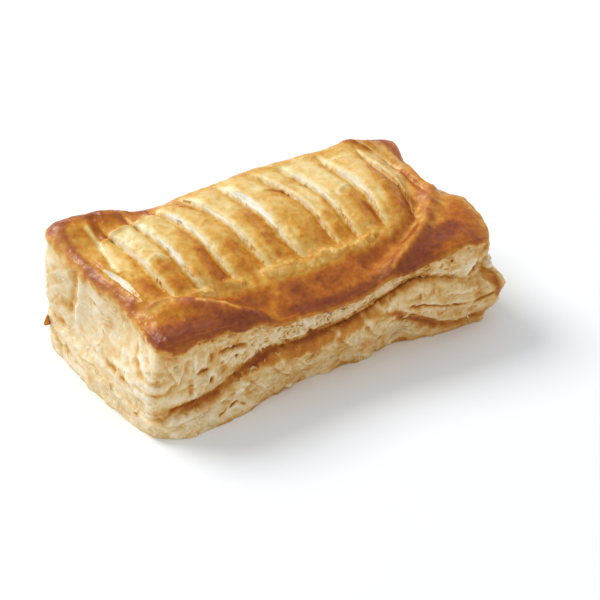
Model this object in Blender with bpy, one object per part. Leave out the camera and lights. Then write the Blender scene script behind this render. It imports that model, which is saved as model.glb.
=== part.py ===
"""A baked puff-pastry roll: a filled roll with slits across its domed top.

One solid, in metres, +Z up. +X runs along the roll and -Y is the sealed front side.
The origin is on the surface that the roll rests on, at the middle of its bounding box.
A box with graded grid lines is rounded first, and then bent to the baked form by a few
functions of where each point lies on it.
"""

import bmesh
import bpy
import numpy as np
from mathutils import Vector

MM = 0.001

# Driving dimensions of the roll before the oven makes it uneven
HALF_LENGTH = 67.5 * MM
HALF_WIDTH = 35 * MM
EDGE_RADIUS = 5 * MM

# Nominal levels on the straight-sided box, which the form then moves to their real heights
BOX_HEIGHT = 40 * MM
SEAM_LEVEL = 20 * MM
CRUST_LEVEL = 36 * MM

# Height of the top at its four corners, the dome over the filling, and the sag of the front
CORNER_HEIGHT = {"front left": 35, "front right": 37.4, "rear left": 42.5, "rear right": 39}
DOME_HEIGHT = 5.2 * MM
FRONT_SAG = 7.4 * MM

# Thickness of the crust at its edge, as (along X, thickness) in millimetres
CRUST_DEPTH = [(-68, 2.4), (-60, 3.2), (-45, 3), (-28, 3.2), (-9, 2.9), (3, 1.8), (17, 3.1), (26, 3.4)]
CRUST_DEPTH += [(37, 2.6), (48, 1.7), (68, 2.2)]

# The seam between the two layers of dough, as (along X, height) in millimetres
FRONT_SEAM = [(-68, 6), (-45, 9), (-25, 18.3), (-9, 18.7), (0, 19.7), (7, 20.3), (15, 22.4), (22, 25)]
FRONT_SEAM += [(32, 28), (43, 24.5), (55, 19.6), (68, 17.4)]
REAR_SEAM = [(-68, 15), (-40, 19), (-5, 17), (25, 21), (50, 18), (68, 20)]
NOTCH_DEPTH = 1.6 * MM
LIP_DEPTH = 1.2 * MM
RECESS_DEPTH = 1.3 * MM
RIGHT_END_RECESS = 5.4 * MM

# How far the base of the long sides is drawn in, as (along X, depth) in millimetres
TUCK = [(-68, 0), (-56, -4.6), (-42, -4), (-32, -1.8), (-24, 0.4), (-18, 1.8), (-12, 2.8), (-1, 3), (11, 2.6)]
TUCK += [(17.6, 3.6), (21, 5), (28, 5.4), (36, 3.6), (46, 1.6), (58, 1.4), (68, 0.4)]
TUCK_FREE_WIDTH = 6 * MM

# Flares of the layers at the two ends, and how far parts of the ends draw in
LEFT_BASE_FLARE = 5.6 * MM
LEFT_TOP_FLARE = 5.4 * MM
LEFT_FRONT_INSET = 3.4 * MM
RIGHT_FLARE = 2.5 * MM
RIGHT_BASE_CUT = 3.0 * MM
RIGHT_REAR_CUT = 3.2 * MM
RIGHT_FRONT_CUT = 2.6 * MM

# Slits: place along X where Y is 0, shifts along X at the front end and at the rear end, front end,
# rear end, widest opening, all in millimetres
SLITS = [
    (-60.5, 3.6, -0.8, -14, 7, 3.0),
    (-49.6, 1.6, -2.4, -13, 17, 2.4),
    (-39.2, 2.6, -2.8, -16, 15, 3.0),
    (-26.8, 1.6, -4.2, -15, 19, 2.6),
    (-14.3, 2.0, -4.8, -14.5, 20, 2.6),
    (-1.4, 2.2, -3.8, -14, 20, 4.2),
    (14.1, 0.8, -5.4, -15, 21, 2.2),
    (22.4, 0.7, -4.4, -15.5, 22, 2.6),
    (35.9, -1.2, -1.8, -14, 16, 3.2),
    (49.4, -2.0, -1.5, -11, 14, 2.2),
]
SLIT_DEPTH = 2.2 * MM

# Ridges and furrows of the folded border, as (path in X and Y, half width, height), in millimetres
BORDER_FOLDS = [
    ([(-66, 26), (-65, 8), (-63, -10), (-52, -19.5), (-41, -22), (-34, -28), (-28, -35)], 4.0, 2.3),
    ([(-37, -17), (-29, -21), (-21, -28), (-16, -38)], 4.2, -2.5),
    ([(15, -39), (23, -34.5), (32, -28), (40, -24), (47, -18), (54, -11), (59, -3), (59.5, 10)], 3.0, 2.4),
    ([(20, -26), (26, -24), (37, -20), (45, -15), (50, -8), (53, 3)], 2.6, -2.2),
    ([(-55, 28), (-57.5, 18), (-58.5, 8)], 1.5, -1.5),
    ([(52, 28), (55.5, 21), (58, 14)], 1.3, -1.5),
    ([(-62, 33), (-55, 29.5)], 9.6, 5.4),
    ([(-72, 40), (-71, 34)], 5.0, -2.2),
    ([(-47, 35), (-30, 33)], 7.0, -3.0),
    ([(-24, 35), (-10, 34)], 9.0, -1.3),
    ([(-54, 22), (-44, 22.5), (-35, 25.5)], 3.5, -1.2),
    ([(48, 33), (54, 30)], 7.0, 2.6),
    ([(66, 20), (66, 6)], 6.0, -1.2),
    ([(68, 6), (68, -3)], 5.5, -2.4),
    ([(60, -17), (63, -13)], 5.0, 1.2),
    ([(64, -38), (70, -33)], 8.0, -3.0),
    ([(4, 34), (26, 34)], 7.0, 0.9),
]

# Grid lines of the box, in millimetres; the slits add their own along X
END_LINES = [0, 0.9, 2.4, 4.6]
Y_LINES = [-35, -34.1, -32.6, -30.4, -27.5, -24.8, -22.2, -19.6, -17, -14.4, -11.8, -8.5, -3]
Y_LINES += [4, 10, 15, 19, 23, 26.5, 30.4, 32.6, 34.1, 35]
Z_LINES = [0, 0.9, 2.4, 5, 8.5, 13, 17, 19.2, 20.2, 21.3, 22.8, 27, 32, 35.2, 36.6, 38.2, 39.3, 40]

CRUST_BROWN = (0.62, 0.33, 0.07, 1.0)


def ease(t):
    """0 below 0 and 1 above 1, with a smooth rise between."""
    t = np.clip(t, 0.0, 1.0)
    return t * t * (3.0 - 2.0 * t)


def bell(t):
    """1 at 0, falling smoothly to nearly 0 at 2 on either side."""
    return np.exp(-(t**2))


def through(points, x):
    """A smooth curve through points given in millimetres, read at x in metres."""
    xs, ys = (np.array(v, float) * MM for v in zip(*points))
    slopes = np.gradient(ys, xs)
    x = np.clip(x, xs[0], xs[-1])
    i = np.clip(np.searchsorted(xs, x) - 1, 0, len(xs) - 2)
    step = xs[i + 1] - xs[i]
    t = (x - xs[i]) / step
    from_left = ys[i] * (1 + 2 * t) + slopes[i] * step * t
    from_right = ys[i + 1] * (3 - 2 * t) - slopes[i + 1] * step * (1 - t)
    return from_left * (1 - t) ** 2 + from_right * t * t


def distance_to_path(x, y, path):
    """Distance in plan from each point to a bent line given in millimetres."""
    nearest = np.full(np.shape(x), np.inf)
    for start, end in zip(path[:-1], path[1:]):
        (ax, ay), (bx, by) = np.array(start) * MM, np.array(end) * MM
        run = (bx - ax) ** 2 + (by - ay) ** 2
        t = np.clip(((x - ax) * (bx - ax) + (y - ay) * (by - ay)) / run, 0, 1)
        nearest = np.minimum(nearest, np.hypot(x - ax - t * (bx - ax), y - ay - t * (by - ay)))
    return nearest


def top_height(x, y):
    """Height of the crust above the table, without its slits."""
    u = np.clip((x + HALF_LENGTH) / (2 * HALF_LENGTH), 0, 1)
    v = np.clip((y + HALF_WIDTH) / (2 * HALF_WIDTH), 0, 1)
    corner = {name: height * MM for name, height in CORNER_HEIGHT.items()}
    front = corner["front left"] * (1 - u) + corner["front right"] * u
    rear = corner["rear left"] * (1 - u) + corner["rear right"] * u
    border = front * (1 - v) + rear * v
    sag = FRONT_SAG * bell((x - 2 * MM) / (27 * MM)) * bell((y + HALF_WIDTH) / (13 * MM))
    along = ease((60 * MM - np.abs(x + 1 * MM)) / (16 * MM))
    across = ease((y + 22 * MM) / (30 * MM)) * ease((38 * MM - y) / (10 * MM))
    height = border - sag + DOME_HEIGHT * along * across
    for path, half_width, fold in BORDER_FOLDS:
        height += fold * MM * bell(distance_to_path(x, y, path) / (half_width * MM))
    return height


def lean(line, y):
    """Shift along X that turns grid lines across the roll into leaning slit lines."""
    knots = np.array([-70.0] + [slit[0] for slit in SLITS] + [70.0]) * MM
    shift = np.zeros(np.shape(line))
    for i, (_, front_shift, rear_shift, front_end, rear_end, _) in enumerate(SLITS):
        before, middle, after = knots[i : i + 3]
        rising, falling = (line - before) / (middle - before), (after - line) / (after - middle)
        share = np.clip(np.minimum(rising, falling), 0, 1)
        forward = front_shift * np.clip(y / (front_end * MM), 0, 1.2) ** 1.5
        rearward = rear_shift * np.clip(y / (rear_end * MM), 0, 1.4) ** 1.5
        shift += share * (forward + rearward) * MM
    return shift


def slit_cut(line, y):
    """Depth of the slits at a place given by its grid line along X and its Y."""
    depth = np.zeros(np.shape(y))
    for centre, _, _, front_end, rear_end, opening in SLITS:
        t = (y - front_end * MM) / ((rear_end - front_end) * MM)
        lens = np.sqrt(np.clip(4 * t * (1 - t), 0, 1))
        across = (line - centre * MM) / (0.5 * opening * MM * np.maximum(lens, 0.05))
        steep_wall = ease((across + 1.3) / 0.5)
        sloping_wall = ease((1.7 - across) / 1.9)
        depth = np.maximum(depth, SLIT_DEPTH * lens * steep_wall * sloping_wall)
    return depth


def seam_height(x, y):
    """Height of the seam, from the front side's line to the rear side's."""
    rearward = ease((y + HALF_WIDTH) / (2 * HALF_WIDTH))
    return through(FRONT_SEAM, x) * (1 - rearward) + through(REAR_SEAM, x) * rearward


def side_offset(level, along, x):
    """How far a side stands out at a nominal level. along is 1 on the long sides and 0 on the ends."""
    groove = NOTCH_DEPTH * bell((level - SEAM_LEVEL - 0.75 * MM) / (1.5 * MM))
    lip = LIP_DEPTH * bell((level - SEAM_LEVEL + 3 * MM) / (2.5 * MM))
    recess = RECESS_DEPTH * ease((CRUST_LEVEL - level) / (2.2 * MM)) * ease((level - SEAM_LEVEL) / (2 * MM))
    deeper = RIGHT_END_RECESS * ease((x - 56 * MM) / (9 * MM)) * bell((level - 23.6 * MM) / (3.8 * MM))
    return (0.35 + 0.65 * along) * (lip - groove - recess - deeper)


def baked_form(line, y, z):
    """Moves points of the straight-sided box to the form of the baked roll."""
    box = np.stack([line, y, z], axis=-1)
    low = np.array([-HALF_LENGTH, -HALF_WIDTH, 0.0]) + EDGE_RADIUS
    high = np.array([HALF_LENGTH, HALF_WIDTH, BOX_HEIGHT]) - EDGE_RADIUS
    inner = np.clip(box, low, high)
    outward = box - inner
    size = np.linalg.norm(outward, axis=-1, keepdims=True)
    outward = np.divide(outward, size, out=np.zeros_like(outward), where=size > 0)
    rounded = inner + outward * EDGE_RADIUS

    x, y, level = rounded.T
    sideways = np.hypot(outward[:, 0], outward[:, 1])
    along = np.abs(outward[:, 1]) / np.maximum(sideways, 1e-9)
    offset = side_offset(level, along, x) * sideways
    x = x + lean(line, y) * ease((HALF_LENGTH - np.abs(line)) / (12 * MM))

    top = top_height(x, y)
    seam = seam_height(x, y)
    crust_edge = top - through(CRUST_DEPTH, x)
    low_part = seam * level / SEAM_LEVEL
    middle_part = seam + (crust_edge - seam) * (level - SEAM_LEVEL) / (CRUST_LEVEL - SEAM_LEVEL)
    high_part = crust_edge + (top - crust_edge) * (level - CRUST_LEVEL) / (BOX_HEIGHT - CRUST_LEVEL)
    height = np.where(level < SEAM_LEVEL, low_part, np.where(level < CRUST_LEVEL, middle_part, high_part))
    height = height - slit_cut(line, y) * (z >= BOX_HEIGHT - 1e-9)

    x = x + offset * outward[:, 0] / np.maximum(sideways, 1e-9)
    y = y + offset * outward[:, 1] / np.maximum(sideways, 1e-9)
    tuck = through(TUCK, x) * ease((14 * MM - level) / (14 * MM))
    outer_share = np.clip((np.abs(y) - TUCK_FREE_WIDTH) / (HALF_WIDTH - TUCK_FREE_WIDTH), 0, 1)
    y = y - np.sign(y) * tuck * outer_share

    leftward = ease(-x / (8 * MM) - 7.2)
    base_share = ease((y + 40 * MM) / (44 * MM)) * ease((26 * MM - height) / (20 * MM))
    top_share = ease((y - 2 * MM) / (26 * MM)) * ease((height - 10 * MM) / (14 * MM))
    top_share *= 1 - 0.3 * ease((height - 36 * MM) / (6 * MM))
    inset_share = ease((6 * MM - y) / (18 * MM)) * ease((height - 16 * MM) / (16 * MM))
    flare = LEFT_BASE_FLARE * base_share + LEFT_TOP_FLARE * top_share - LEFT_FRONT_INSET * inset_share
    x = x - leftward * flare

    rightward = ease(x / (8 * MM) - 7.2)
    rear_share = ease((y + 12 * MM) / (24 * MM)) * ease((height - 16 * MM) / (14 * MM))
    rear_share *= 1 - 0.9 * ease((y - 20 * MM) / (12 * MM))
    flare = RIGHT_FLARE * bell((height - 14 * MM) / (8 * MM)) - RIGHT_REAR_CUT * rear_share
    x = x + rightward * (flare - RIGHT_BASE_CUT * ease(1 - height / (9 * MM)))
    corner = ease((x - 55 * MM) / (13 * MM)) * ease((-y - 20 * MM) / (15 * MM))
    corner *= ease((height - 20 * MM) / (4 * MM))
    x, y = x - RIGHT_FRONT_CUT * corner, y + 0.6 * RIGHT_FRONT_CUT * corner
    return np.stack([x, y, height], axis=-1)


def x_lines():
    """Grid lines along X: close together at each slit's two walls and at the ends."""
    lines = [side * (HALF_LENGTH - inset * MM) for side in (-1, 1) for inset in END_LINES]
    centres = [slit[0] * MM for slit in SLITS]
    for centre, slit in zip(centres, SLITS):
        half_opening = 0.5 * slit[-1] * MM
        lines += [centre - 1.15 * half_opening, centre - 0.6 * half_opening, centre + 1.5 * half_opening]
    lines += [a + share * (b - a) for a, b in zip(centres[:-1], centres[1:]) for share in (0.4, 0.65)]
    lines.append(0.5 * (centres[-1] + HALF_LENGTH))
    return np.array(sorted(lines))


def subdivide_along(shape, axis, cuts):
    """Cuts every edge that runs along an axis, which adds that many rings round the box."""
    running = [e for e in shape.edges if abs((e.verts[0].co - e.verts[1].co)[axis]) > 1e-6]
    bmesh.ops.subdivide_edges(shape, edges=running, cuts=cuts, use_grid_fill=True)


def roll_mesh():
    """The solid of the roll as a mesh, standing on its flat base and centred on the origin."""
    lines = [x_lines(), np.array(Y_LINES) * MM, np.array(Z_LINES) * MM]
    shape = bmesh.new()
    bmesh.ops.create_cube(shape, size=1.0)
    for axis, places in enumerate(lines):
        subdivide_along(shape, axis, len(places) - 2)

    even = np.array([v.co for v in shape.verts]) + 0.5
    graded = [np.interp(even[:, axis], np.linspace(0, 1, len(p)), p) for axis, p in enumerate(lines)]
    baked = baked_form(*graded)
    baked[even[:, 2] < 1e-6, 2] = 0.0
    baked -= np.append((baked.max(0) + baked.min(0))[:2] / 2, baked[:, 2].min())
    for vert, place in zip(shape.verts, baked):
        vert.co = Vector(place)

    base = [f for f in shape.faces if all(v.co.z < 1e-7 for v in f.verts)]
    bmesh.ops.dissolve_faces(shape, faces=base)
    bmesh.ops.triangulate(shape, faces=shape.faces[:])
    bmesh.ops.recalc_face_normals(shape, faces=shape.faces[:])
    mesh = bpy.data.meshes.new("pastry_roll")
    shape.to_mesh(mesh)
    shape.free()
    mesh.shade_smooth()
    mesh.set_sharp_from_angle(angle=np.radians(50))
    return mesh


def crust_material():
    """Egg-washed puff pastry, golden brown and slightly glossy."""
    material = bpy.data.materials.new("baked_crust")
    material.use_nodes = True
    shader = material.node_tree.nodes["Principled BSDF"]
    shader.inputs["Base Color"].default_value = CRUST_BROWN
    shader.inputs["Roughness"].default_value = 0.5
    shader.inputs["Metallic"].default_value = 0.0
    return material


def main():
    for old in list(bpy.data.objects):
        bpy.data.objects.remove(old)
    group = bpy.data.collections.new("chicken_pastry_roll")
    bpy.context.scene.collection.children.link(group)
    roll = bpy.data.objects.new("pastry_roll", roll_mesh())
    roll.data.materials.append(crust_material())
    group.objects.link(roll)


main()
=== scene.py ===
import itertools
import math

import bpy
import numpy as np
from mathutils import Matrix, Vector


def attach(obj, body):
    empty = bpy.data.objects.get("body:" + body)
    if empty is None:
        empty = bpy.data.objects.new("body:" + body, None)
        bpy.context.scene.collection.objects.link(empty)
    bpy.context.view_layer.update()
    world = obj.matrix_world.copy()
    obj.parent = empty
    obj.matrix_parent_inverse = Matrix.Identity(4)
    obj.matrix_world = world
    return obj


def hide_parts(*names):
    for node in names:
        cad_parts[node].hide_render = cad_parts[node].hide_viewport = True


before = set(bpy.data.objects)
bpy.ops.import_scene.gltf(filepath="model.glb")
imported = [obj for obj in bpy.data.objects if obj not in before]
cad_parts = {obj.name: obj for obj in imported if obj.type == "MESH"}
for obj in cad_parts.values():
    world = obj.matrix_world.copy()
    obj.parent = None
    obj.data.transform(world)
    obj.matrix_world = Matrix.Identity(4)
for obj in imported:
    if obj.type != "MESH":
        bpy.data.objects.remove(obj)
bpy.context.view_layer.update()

# Lengths below are in millimetres unless a note says otherwise
mm = 0.001


# 0 below 0, 1 above 1, and a smooth rise between
def ease(t):
    t = np.clip(t, 0.0, 1.0)
    return t * t * (3.0 - 2.0 * t)


# 1 at 0, nearly 0 at 2 on either side
def bell(t):
    return np.exp(-t * t)


# a smooth curve through points, read at x
def through(points, x):
    xs, ys = np.array(points, float).T
    slopes = np.gradient(ys, xs)
    x = np.clip(x, xs[0], xs[-1])
    i = np.clip(np.searchsorted(xs, x) - 1, 0, len(xs) - 2)
    step = xs[i + 1] - xs[i]
    t = (x - xs[i]) / step
    fromLeft = ys[i] * (1 + 2 * t) + slopes[i] * step * t
    fromRight = ys[i + 1] * (3 - 2 * t) - slopes[i + 1] * step * (1 - t)
    return fromLeft * (1 - t) ** 2 + fromRight * t * t


# distance from points (a, b) to a bent line, the share of its length at the nearest place,
# and on which side of the line the point lies: positive to the left of its direction
def nearPath(a, b, path):
    path = np.array(path, float)
    lengths = np.hypot(*(path[1:] - path[:-1]).T)
    begun = np.concatenate([[0], np.cumsum(lengths)])
    nearest, share, side = (np.full(np.shape(a), v) for v in (1e9, 0.0, 0.0))
    for i, length in enumerate(lengths):
        (pa, pb), (da, db) = path[i], (path[i + 1] - path[i]) / length
        t = np.clip((a - pa) * da + (b - pb) * db, 0, length)
        gap = np.hypot(a - pa - t * da, b - pb - t * db)
        closer = gap < nearest
        nearest = np.where(closer, gap, nearest)
        share = np.where(closer, (begun[i] + t) / begun[-1], share)
        side = np.where(closer, np.sign(da * (b - pb) - db * (a - pa)), side)
    return nearest, share, side


def gradientNoise(places, seed):
    rng = np.random.default_rng(seed)
    table = rng.permutation(256)
    slopes = rng.normal(size=(256, 3))
    slopes /= np.linalg.norm(slopes, axis=1, keepdims=True)
    cell = np.floor(places).astype(int)
    part = places - cell
    fade = part**3 * (part * (part * 6 - 15) + 10)
    total = np.zeros(places.shape[:-1])
    for corner in itertools.product((0, 1), repeat=3):
        c = (cell + corner) & 255
        key = table[(table[(table[c[..., 0]] + c[..., 1]) & 255] + c[..., 2]) & 255]
        weight = np.prod(np.where(corner, fade, 1 - fade), axis=-1)
        total += weight * ((part - corner) * slopes[key]).sum(-1)
    return total * 1.7


# smooth lumps of a size in millimetres, one number or one for each axis, from about -1 to 1
def lumps(places, size, seed, octaves=1):
    total, strength = 0.0, 1.0
    for octave in range(octaves):
        finer = places / size * 2.0**octave + 7.3 * octave
        total = total + strength * gradientNoise(finer, seed + octave)
        strength *= 0.5
    return total / (2 - 2.0 ** (1 - octaves))


# thin creased lines between lumps: 1 on a line, 0 away from it
def creases(places, size, seed, octaves=1):
    return 1 - np.minimum(np.abs(lumps(places, size, seed, octaves)) * 2.4, 1)


# distances to the nearest and next nearest of scattered points in a plane, as shares of a cell's size,
# and a number from 0 to 1 that is the same all over the nearest point's cell
def cells(a, b, size, seed):
    rng = np.random.default_rng(seed)
    table = rng.permutation(4096)
    spots, chances = rng.random((4096, 2)), rng.random(4096)
    a, b = a / size[0], b / size[1]
    ca, cb = np.floor(a).astype(int), np.floor(b).astype(int)
    first, second, chance = np.full(a.shape, 9.0), np.full(a.shape, 9.0), np.zeros(a.shape)
    for da, db in itertools.product((-1, 0, 1), repeat=2):
        key = table[(table[(ca + da) & 4095] + cb + db) & 4095]
        gap = np.hypot(ca + da + spots[key, 0] - a, cb + db + spots[key, 1] - b)
        second = np.minimum(second, np.maximum(first, gap))
        chance = np.where(gap < first, chances[key], chance)
        first = np.minimum(first, gap)
    return first, second, chance


# The roll as a whole. A list of pairs gives a measure at places along the roll.
rollForm = {
    "halfLength": 67.5,
    "halfWidth": 35.0,
    "edgeRadius": 5.0,
    "frontLeft": 35.0,  # heights of the top at its four corners
    "frontRight": 37.4,
    "rearLeft": 42.5,
    "rearRight": 39.0,
    "dome": 5.2,
    "frontSag": 7.0,
    "sagMiddle": 2,
    "sagHalfLength": 27,
    "sagReach": 13,
    "crustDepth": [  # from the top's edge down to the crust's lower edge
        (-68, 2.4), (-60, 2.6), (-56, 2.2), (-49, 1.7), (-42, 1.8), (-35, 2.8), (-29, 4.4), (-24, 3.7),
        (-18, 1.7), (-12, 1.5), (-6, 1.5), (0, 1.4), (8, 1.6), (15, 2.1), (22, 3.0), (29, 2.8),
        (36, 2.4), (43, 3.0), (50, 2.2), (68, 2.2)],
    "frontSeam": [  # height of the seam between the two layers of dough
        (-68, 6), (-45, 9), (-25, 18.3), (-9, 18.7), (0, 19.7), (7, 20.3), (15, 22.4), (22, 25),
        (32, 28), (43, 24.5), (55, 19.6), (68, 17.4)],
    "rearSeam": [(-68, 15), (-40, 19), (-5, 17), (25, 21), (50, 18), (68, 20)],
    "notch": 1.4,  # depth of the groove along the seam
    "lip": 1.2,  # how far the lower layer swells out below it
    "recess": 1.3,  # how far the upper layer is set back above it
    "rightPinch": 5.4,
    "tuck": [  # how far the base of the long sides is drawn in, or spread where it is below 0
        (-68, 0), (-56, -4.6), (-42, -4.0), (-32, -1.8), (-24, 0.4), (-18, 1.8), (-12, 2.8), (-6, 3.2),
        (-1, 3), (4, 3), (7, 3.4), (11, 2.6), (14.4, 2.4), (17.6, 3.6), (21, 5), (28, 5.4), (36, 3.6),
        (46, 1.6), (58, 1.4), (68, 0.4)],
    "baseInset": 1.4,
    "leftBaseFlare": 4.4,
    "leftTopFlare": 5.4,
    "leftFrontInset": 3.4,
    "rightFlare": 2.5,
    "rightBaseCut": 4.2,
    "rightRearCut": 3.2,
    "rightFrontCut": 2.6,
    "centreShift": 1.39,  # moves the roll so that the middle of its box is the frame's origin
    "gridStep": 0.45,
    "levelStep": 0.42,
}
# Levels of the plain box that is moved to the baked form: its seam, the crust's lower edge and its top
boxLevels = {"seam": 20, "crust": 36, "top": 40}

# Ridges and furrows of the folded border: path in plan, half width, height
borderFolds = [
    ([(-66, 26), (-65, 8), (-63, -10), (-52, -19.5), (-41, -22), (-34, -28), (-28, -35)], 4.0, 2.3),
    ([(-37, -17), (-29, -21), (-21, -28), (-16, -38)], 4.2, -1.9),
    ([(15, -39), (23, -34.5), (32, -28), (40, -24), (47, -18), (54, -11), (59, -3), (59.5, 10)],
     3.0, 2.4),
    ([(20, -26), (26, -24), (37, -20), (45, -15), (50, -8), (53, 3)], 2.6, -2.2),
    ([(-55, 28), (-57.5, 18), (-58.5, 8)], 1.5, -1.5),
    ([(52, 28), (55.5, 21), (58, 14)], 1.3, -1.5),
    ([(-62, 33), (-55, 29.5)], 9.6, 5.4),
    ([(-72, 40), (-71, 34)], 5.0, -2.2),
    ([(-47, 35), (-30, 33)], 7.0, -3.0),
    ([(-24, 35), (-10, 34)], 9.0, -1.3),
    ([(-54, 22), (-44, 22.5), (-35, 25.5)], 3.5, -1.2),
    ([(48, 33), (54, 30)], 7.0, 2.6),
    ([(66, 20), (66, 6)], 6.0, -1.2),
    ([(68, 6), (68, -3)], 5.5, -2.4),
    ([(60, -17), (63, -13)], 5.0, 1.2),
    ([(64, -38), (70, -33)], 8.0, -3.0),
    ([(4, 34), (26, 34)], 7.0, 0.9),
]

# Slits: X of the left edge where Y is 0, shift along X at the front end and at the rear end, front end,
# rear end, five widths from front to rear, and how toasted the inside is
slits = [
    (-62.2, 3.6, -0.8, -14, 7, (0.4, 1.9, 3.2, 2.2, 0.4), 0.02),
    (-50.6, 1.6, -2.4, -13, 17, (0.5, 0.6, 0.45, 0.55, 0.4), 0.10),
    (-40.4, 2.6, -2.8, -16, 15, (0.5, 1.0, 1.5, 0.5, 0.4), 0.02),
    (-27.8, 1.6, -4.2, -15, 19, (0.5, 0.5, 0.35, 0.7, 1.7), 0.02),
    (-15.3, 2.0, -4.8, -14.5, 20, (0.5, 0.6, 0.4, 0.5, 0.4), 0.05),
    (-2.9, 2.2, -3.8, -14, 20, (0.5, 0.8, 1.3, 2.2, 3.2), 0.0),
    (13.3, 0.8, -5.4, -15, 21, (0.25, 0.3, 0.35, 0.5, 0.3), 0.20),
    (21.4, 0.7, -4.4, -15.5, 22, (0.4, 0.7, 0.8, 0.9, 0.5), 0.08),
    (34.6, -1.2, -1.8, -14, 16, (0.3, 0.7, 1.5, 1.8, 0.9), 0.12),
    (48.6, -2.0, -1.5, -11, 14, (0.25, 0.35, 0.4, 0.3, 0.25), 0.42),
]
slitForm = {
    "deepest": 2.0,
    "bulge": 0.12,  # height of a strip's crown, as a share of its width
    "leftRise": 0.9,
    "rightDip": 1.0,
    "crease": 0.4,  # depth of the crease that runs on behind each slit
    "lastStripEnd": 57.0,
}


def topHeight(x, y):
    f = rollForm
    u = np.clip((x + f["halfLength"]) / (2 * f["halfLength"]), 0, 1)
    v = np.clip((y + f["halfWidth"]) / (2 * f["halfWidth"]), 0, 1)
    front = f["frontLeft"] * (1 - u) + f["frontRight"] * u
    rear = f["rearLeft"] * (1 - u) + f["rearRight"] * u
    border = front * (1 - v) + rear * v
    sag = f["frontSag"] * bell((x - f["sagMiddle"]) / f["sagHalfLength"])
    sag = sag * bell((y + f["halfWidth"]) / f["sagReach"])
    along = ease((60 - np.abs(x + 1)) / 16)
    across = ease((y + 22) / 30) * ease((38 - y) / 10)
    height = border - sag + f["dome"] * along * across
    for path, halfWidth, fold in borderFolds:
        height = height + fold * bell(nearPath(x, y, path)[0] / halfWidth)
    return height


# how far the strips and slits lean along X, at a grid line of the box and a place across the roll
def leanOf(line, y):
    knots = [-70.0, *(slit[0] for slit in slits), 70.0]
    shift = np.zeros(np.shape(line))
    for i, (edge, frontShift, rearShift, frontEnd, rearEnd, _, _) in enumerate(slits):
        before, after = knots[i], knots[i + 2]
        hat = np.minimum((line - before) / (edge - before), (after - line) / (after - edge))
        hat = np.clip(hat, 0, 1)
        forward = frontShift * np.clip(y / frontEnd, 0, 1.2) ** 1.5
        rearward = rearShift * np.clip(y / rearEnd, 0, 1.4) ** 1.5
        shift += hat * (forward + rearward)
    return shift


# height of the strips between the slits, how deep the point is in a slit, how toasted that slit is, the
# share of the way to its rear end, and how far across its strip the point lies, from left to right
def stripRelief(line, y, ragged):
    height, inSlit, toast, share = (np.zeros(np.shape(line)) for _ in range(4))
    across = np.full(np.shape(line), 0.5)
    for i, (edge, _, _, frontEnd, rearEnd, widths, tone) in enumerate(slits):
        v = (y - frontEnd) / (rearEnd - frontEnd)
        closing = np.sqrt(np.clip(7 * v, 0, 1) * np.clip(7 * (1 - v), 0, 1))
        width = through(list(zip((0, 0.25, 0.5, 0.75, 1), widths)), v) * closing
        u = line - edge + ragged
        depth = np.minimum(0.5 + 0.75 * width, slitForm["deepest"]) * closing
        leftWall = ease((u + 0.15) / 0.35)
        rightWall = 1 - np.clip((u - 0.5 * width) / (0.5 * width + 0.15), 0, 1)
        height -= depth * leftWall * rightWall
        inside = ease((u + 0.1) / 0.2) * ease((width + 0.05 - u) / 0.2) * ease(closing * 4)
        inSlit = np.maximum(inSlit, inside)
        toast = np.where(inside > 0, tone, toast)
        share = np.where(inside > 0, v, share)
        beyond = ease((y - rearEnd + 1.5) / 3) * ease((31 - y) / 7)
        height -= slitForm["crease"] * bell((u - 0.3) / 0.8) * beyond
        isLast = i + 1 == len(slits)
        nextEdge = slitForm["lastStripEnd"] if isLast else slits[i + 1][0]
        t = (line - edge) / (nextEdge - edge)
        on = (t >= 0) & (t < 1)
        ends = [frontEnd, rearEnd] if isLast else [
            frontEnd * (1 - t) + slits[i + 1][3] * t, rearEnd * (1 - t) + slits[i + 1][4] * t]
        reach = ease((y - ends[0] + 2) / 7) * ease((ends[1] + 11 - y) / 11)
        crown = slitForm["bulge"] * (nextEdge - edge) * (1 - (2 * t - 0.95) ** 2)
        tilt = slitForm["leftRise"] * (1 - t) - slitForm["rightDip"] * t
        height += np.where(on, (crown + tilt) * reach, 0)
        across = np.where(on, t, across)
    return height, inSlit, toast, share, across


def seamHeight(x, y):
    f = rollForm
    rearward = ease((y + f["halfWidth"]) / (2 * f["halfWidth"]))
    return through(f["frontSeam"], x) * (1 - rearward) + through(f["rearSeam"], x) * rearward


# how far the side stands out at a level: the lip, the seam's groove, the set-back upper layer, and the
# pinch near the right end. The ends, where along is 0, take about a third of it.
def sideOffset(level, along, x, wander):
    f, aboveSeam = rollForm, level - boxLevels["seam"]
    groove = f["notch"] * bell((aboveSeam - 0.6) / 1.1)
    lip = f["lip"] * bell((aboveSeam + 3) / 2.5)
    recess = f["recess"] * ease((boxLevels["crust"] + wander - level) / 2.2) * ease(aboveSeam / 2)
    pinch = f["rightPinch"] * ease((x - 56) / 9) * bell((aboveSeam - 3.6) / 3.8)
    return (0.35 + 0.65 * along) * (lip - groove - (recess + pinch))


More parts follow.
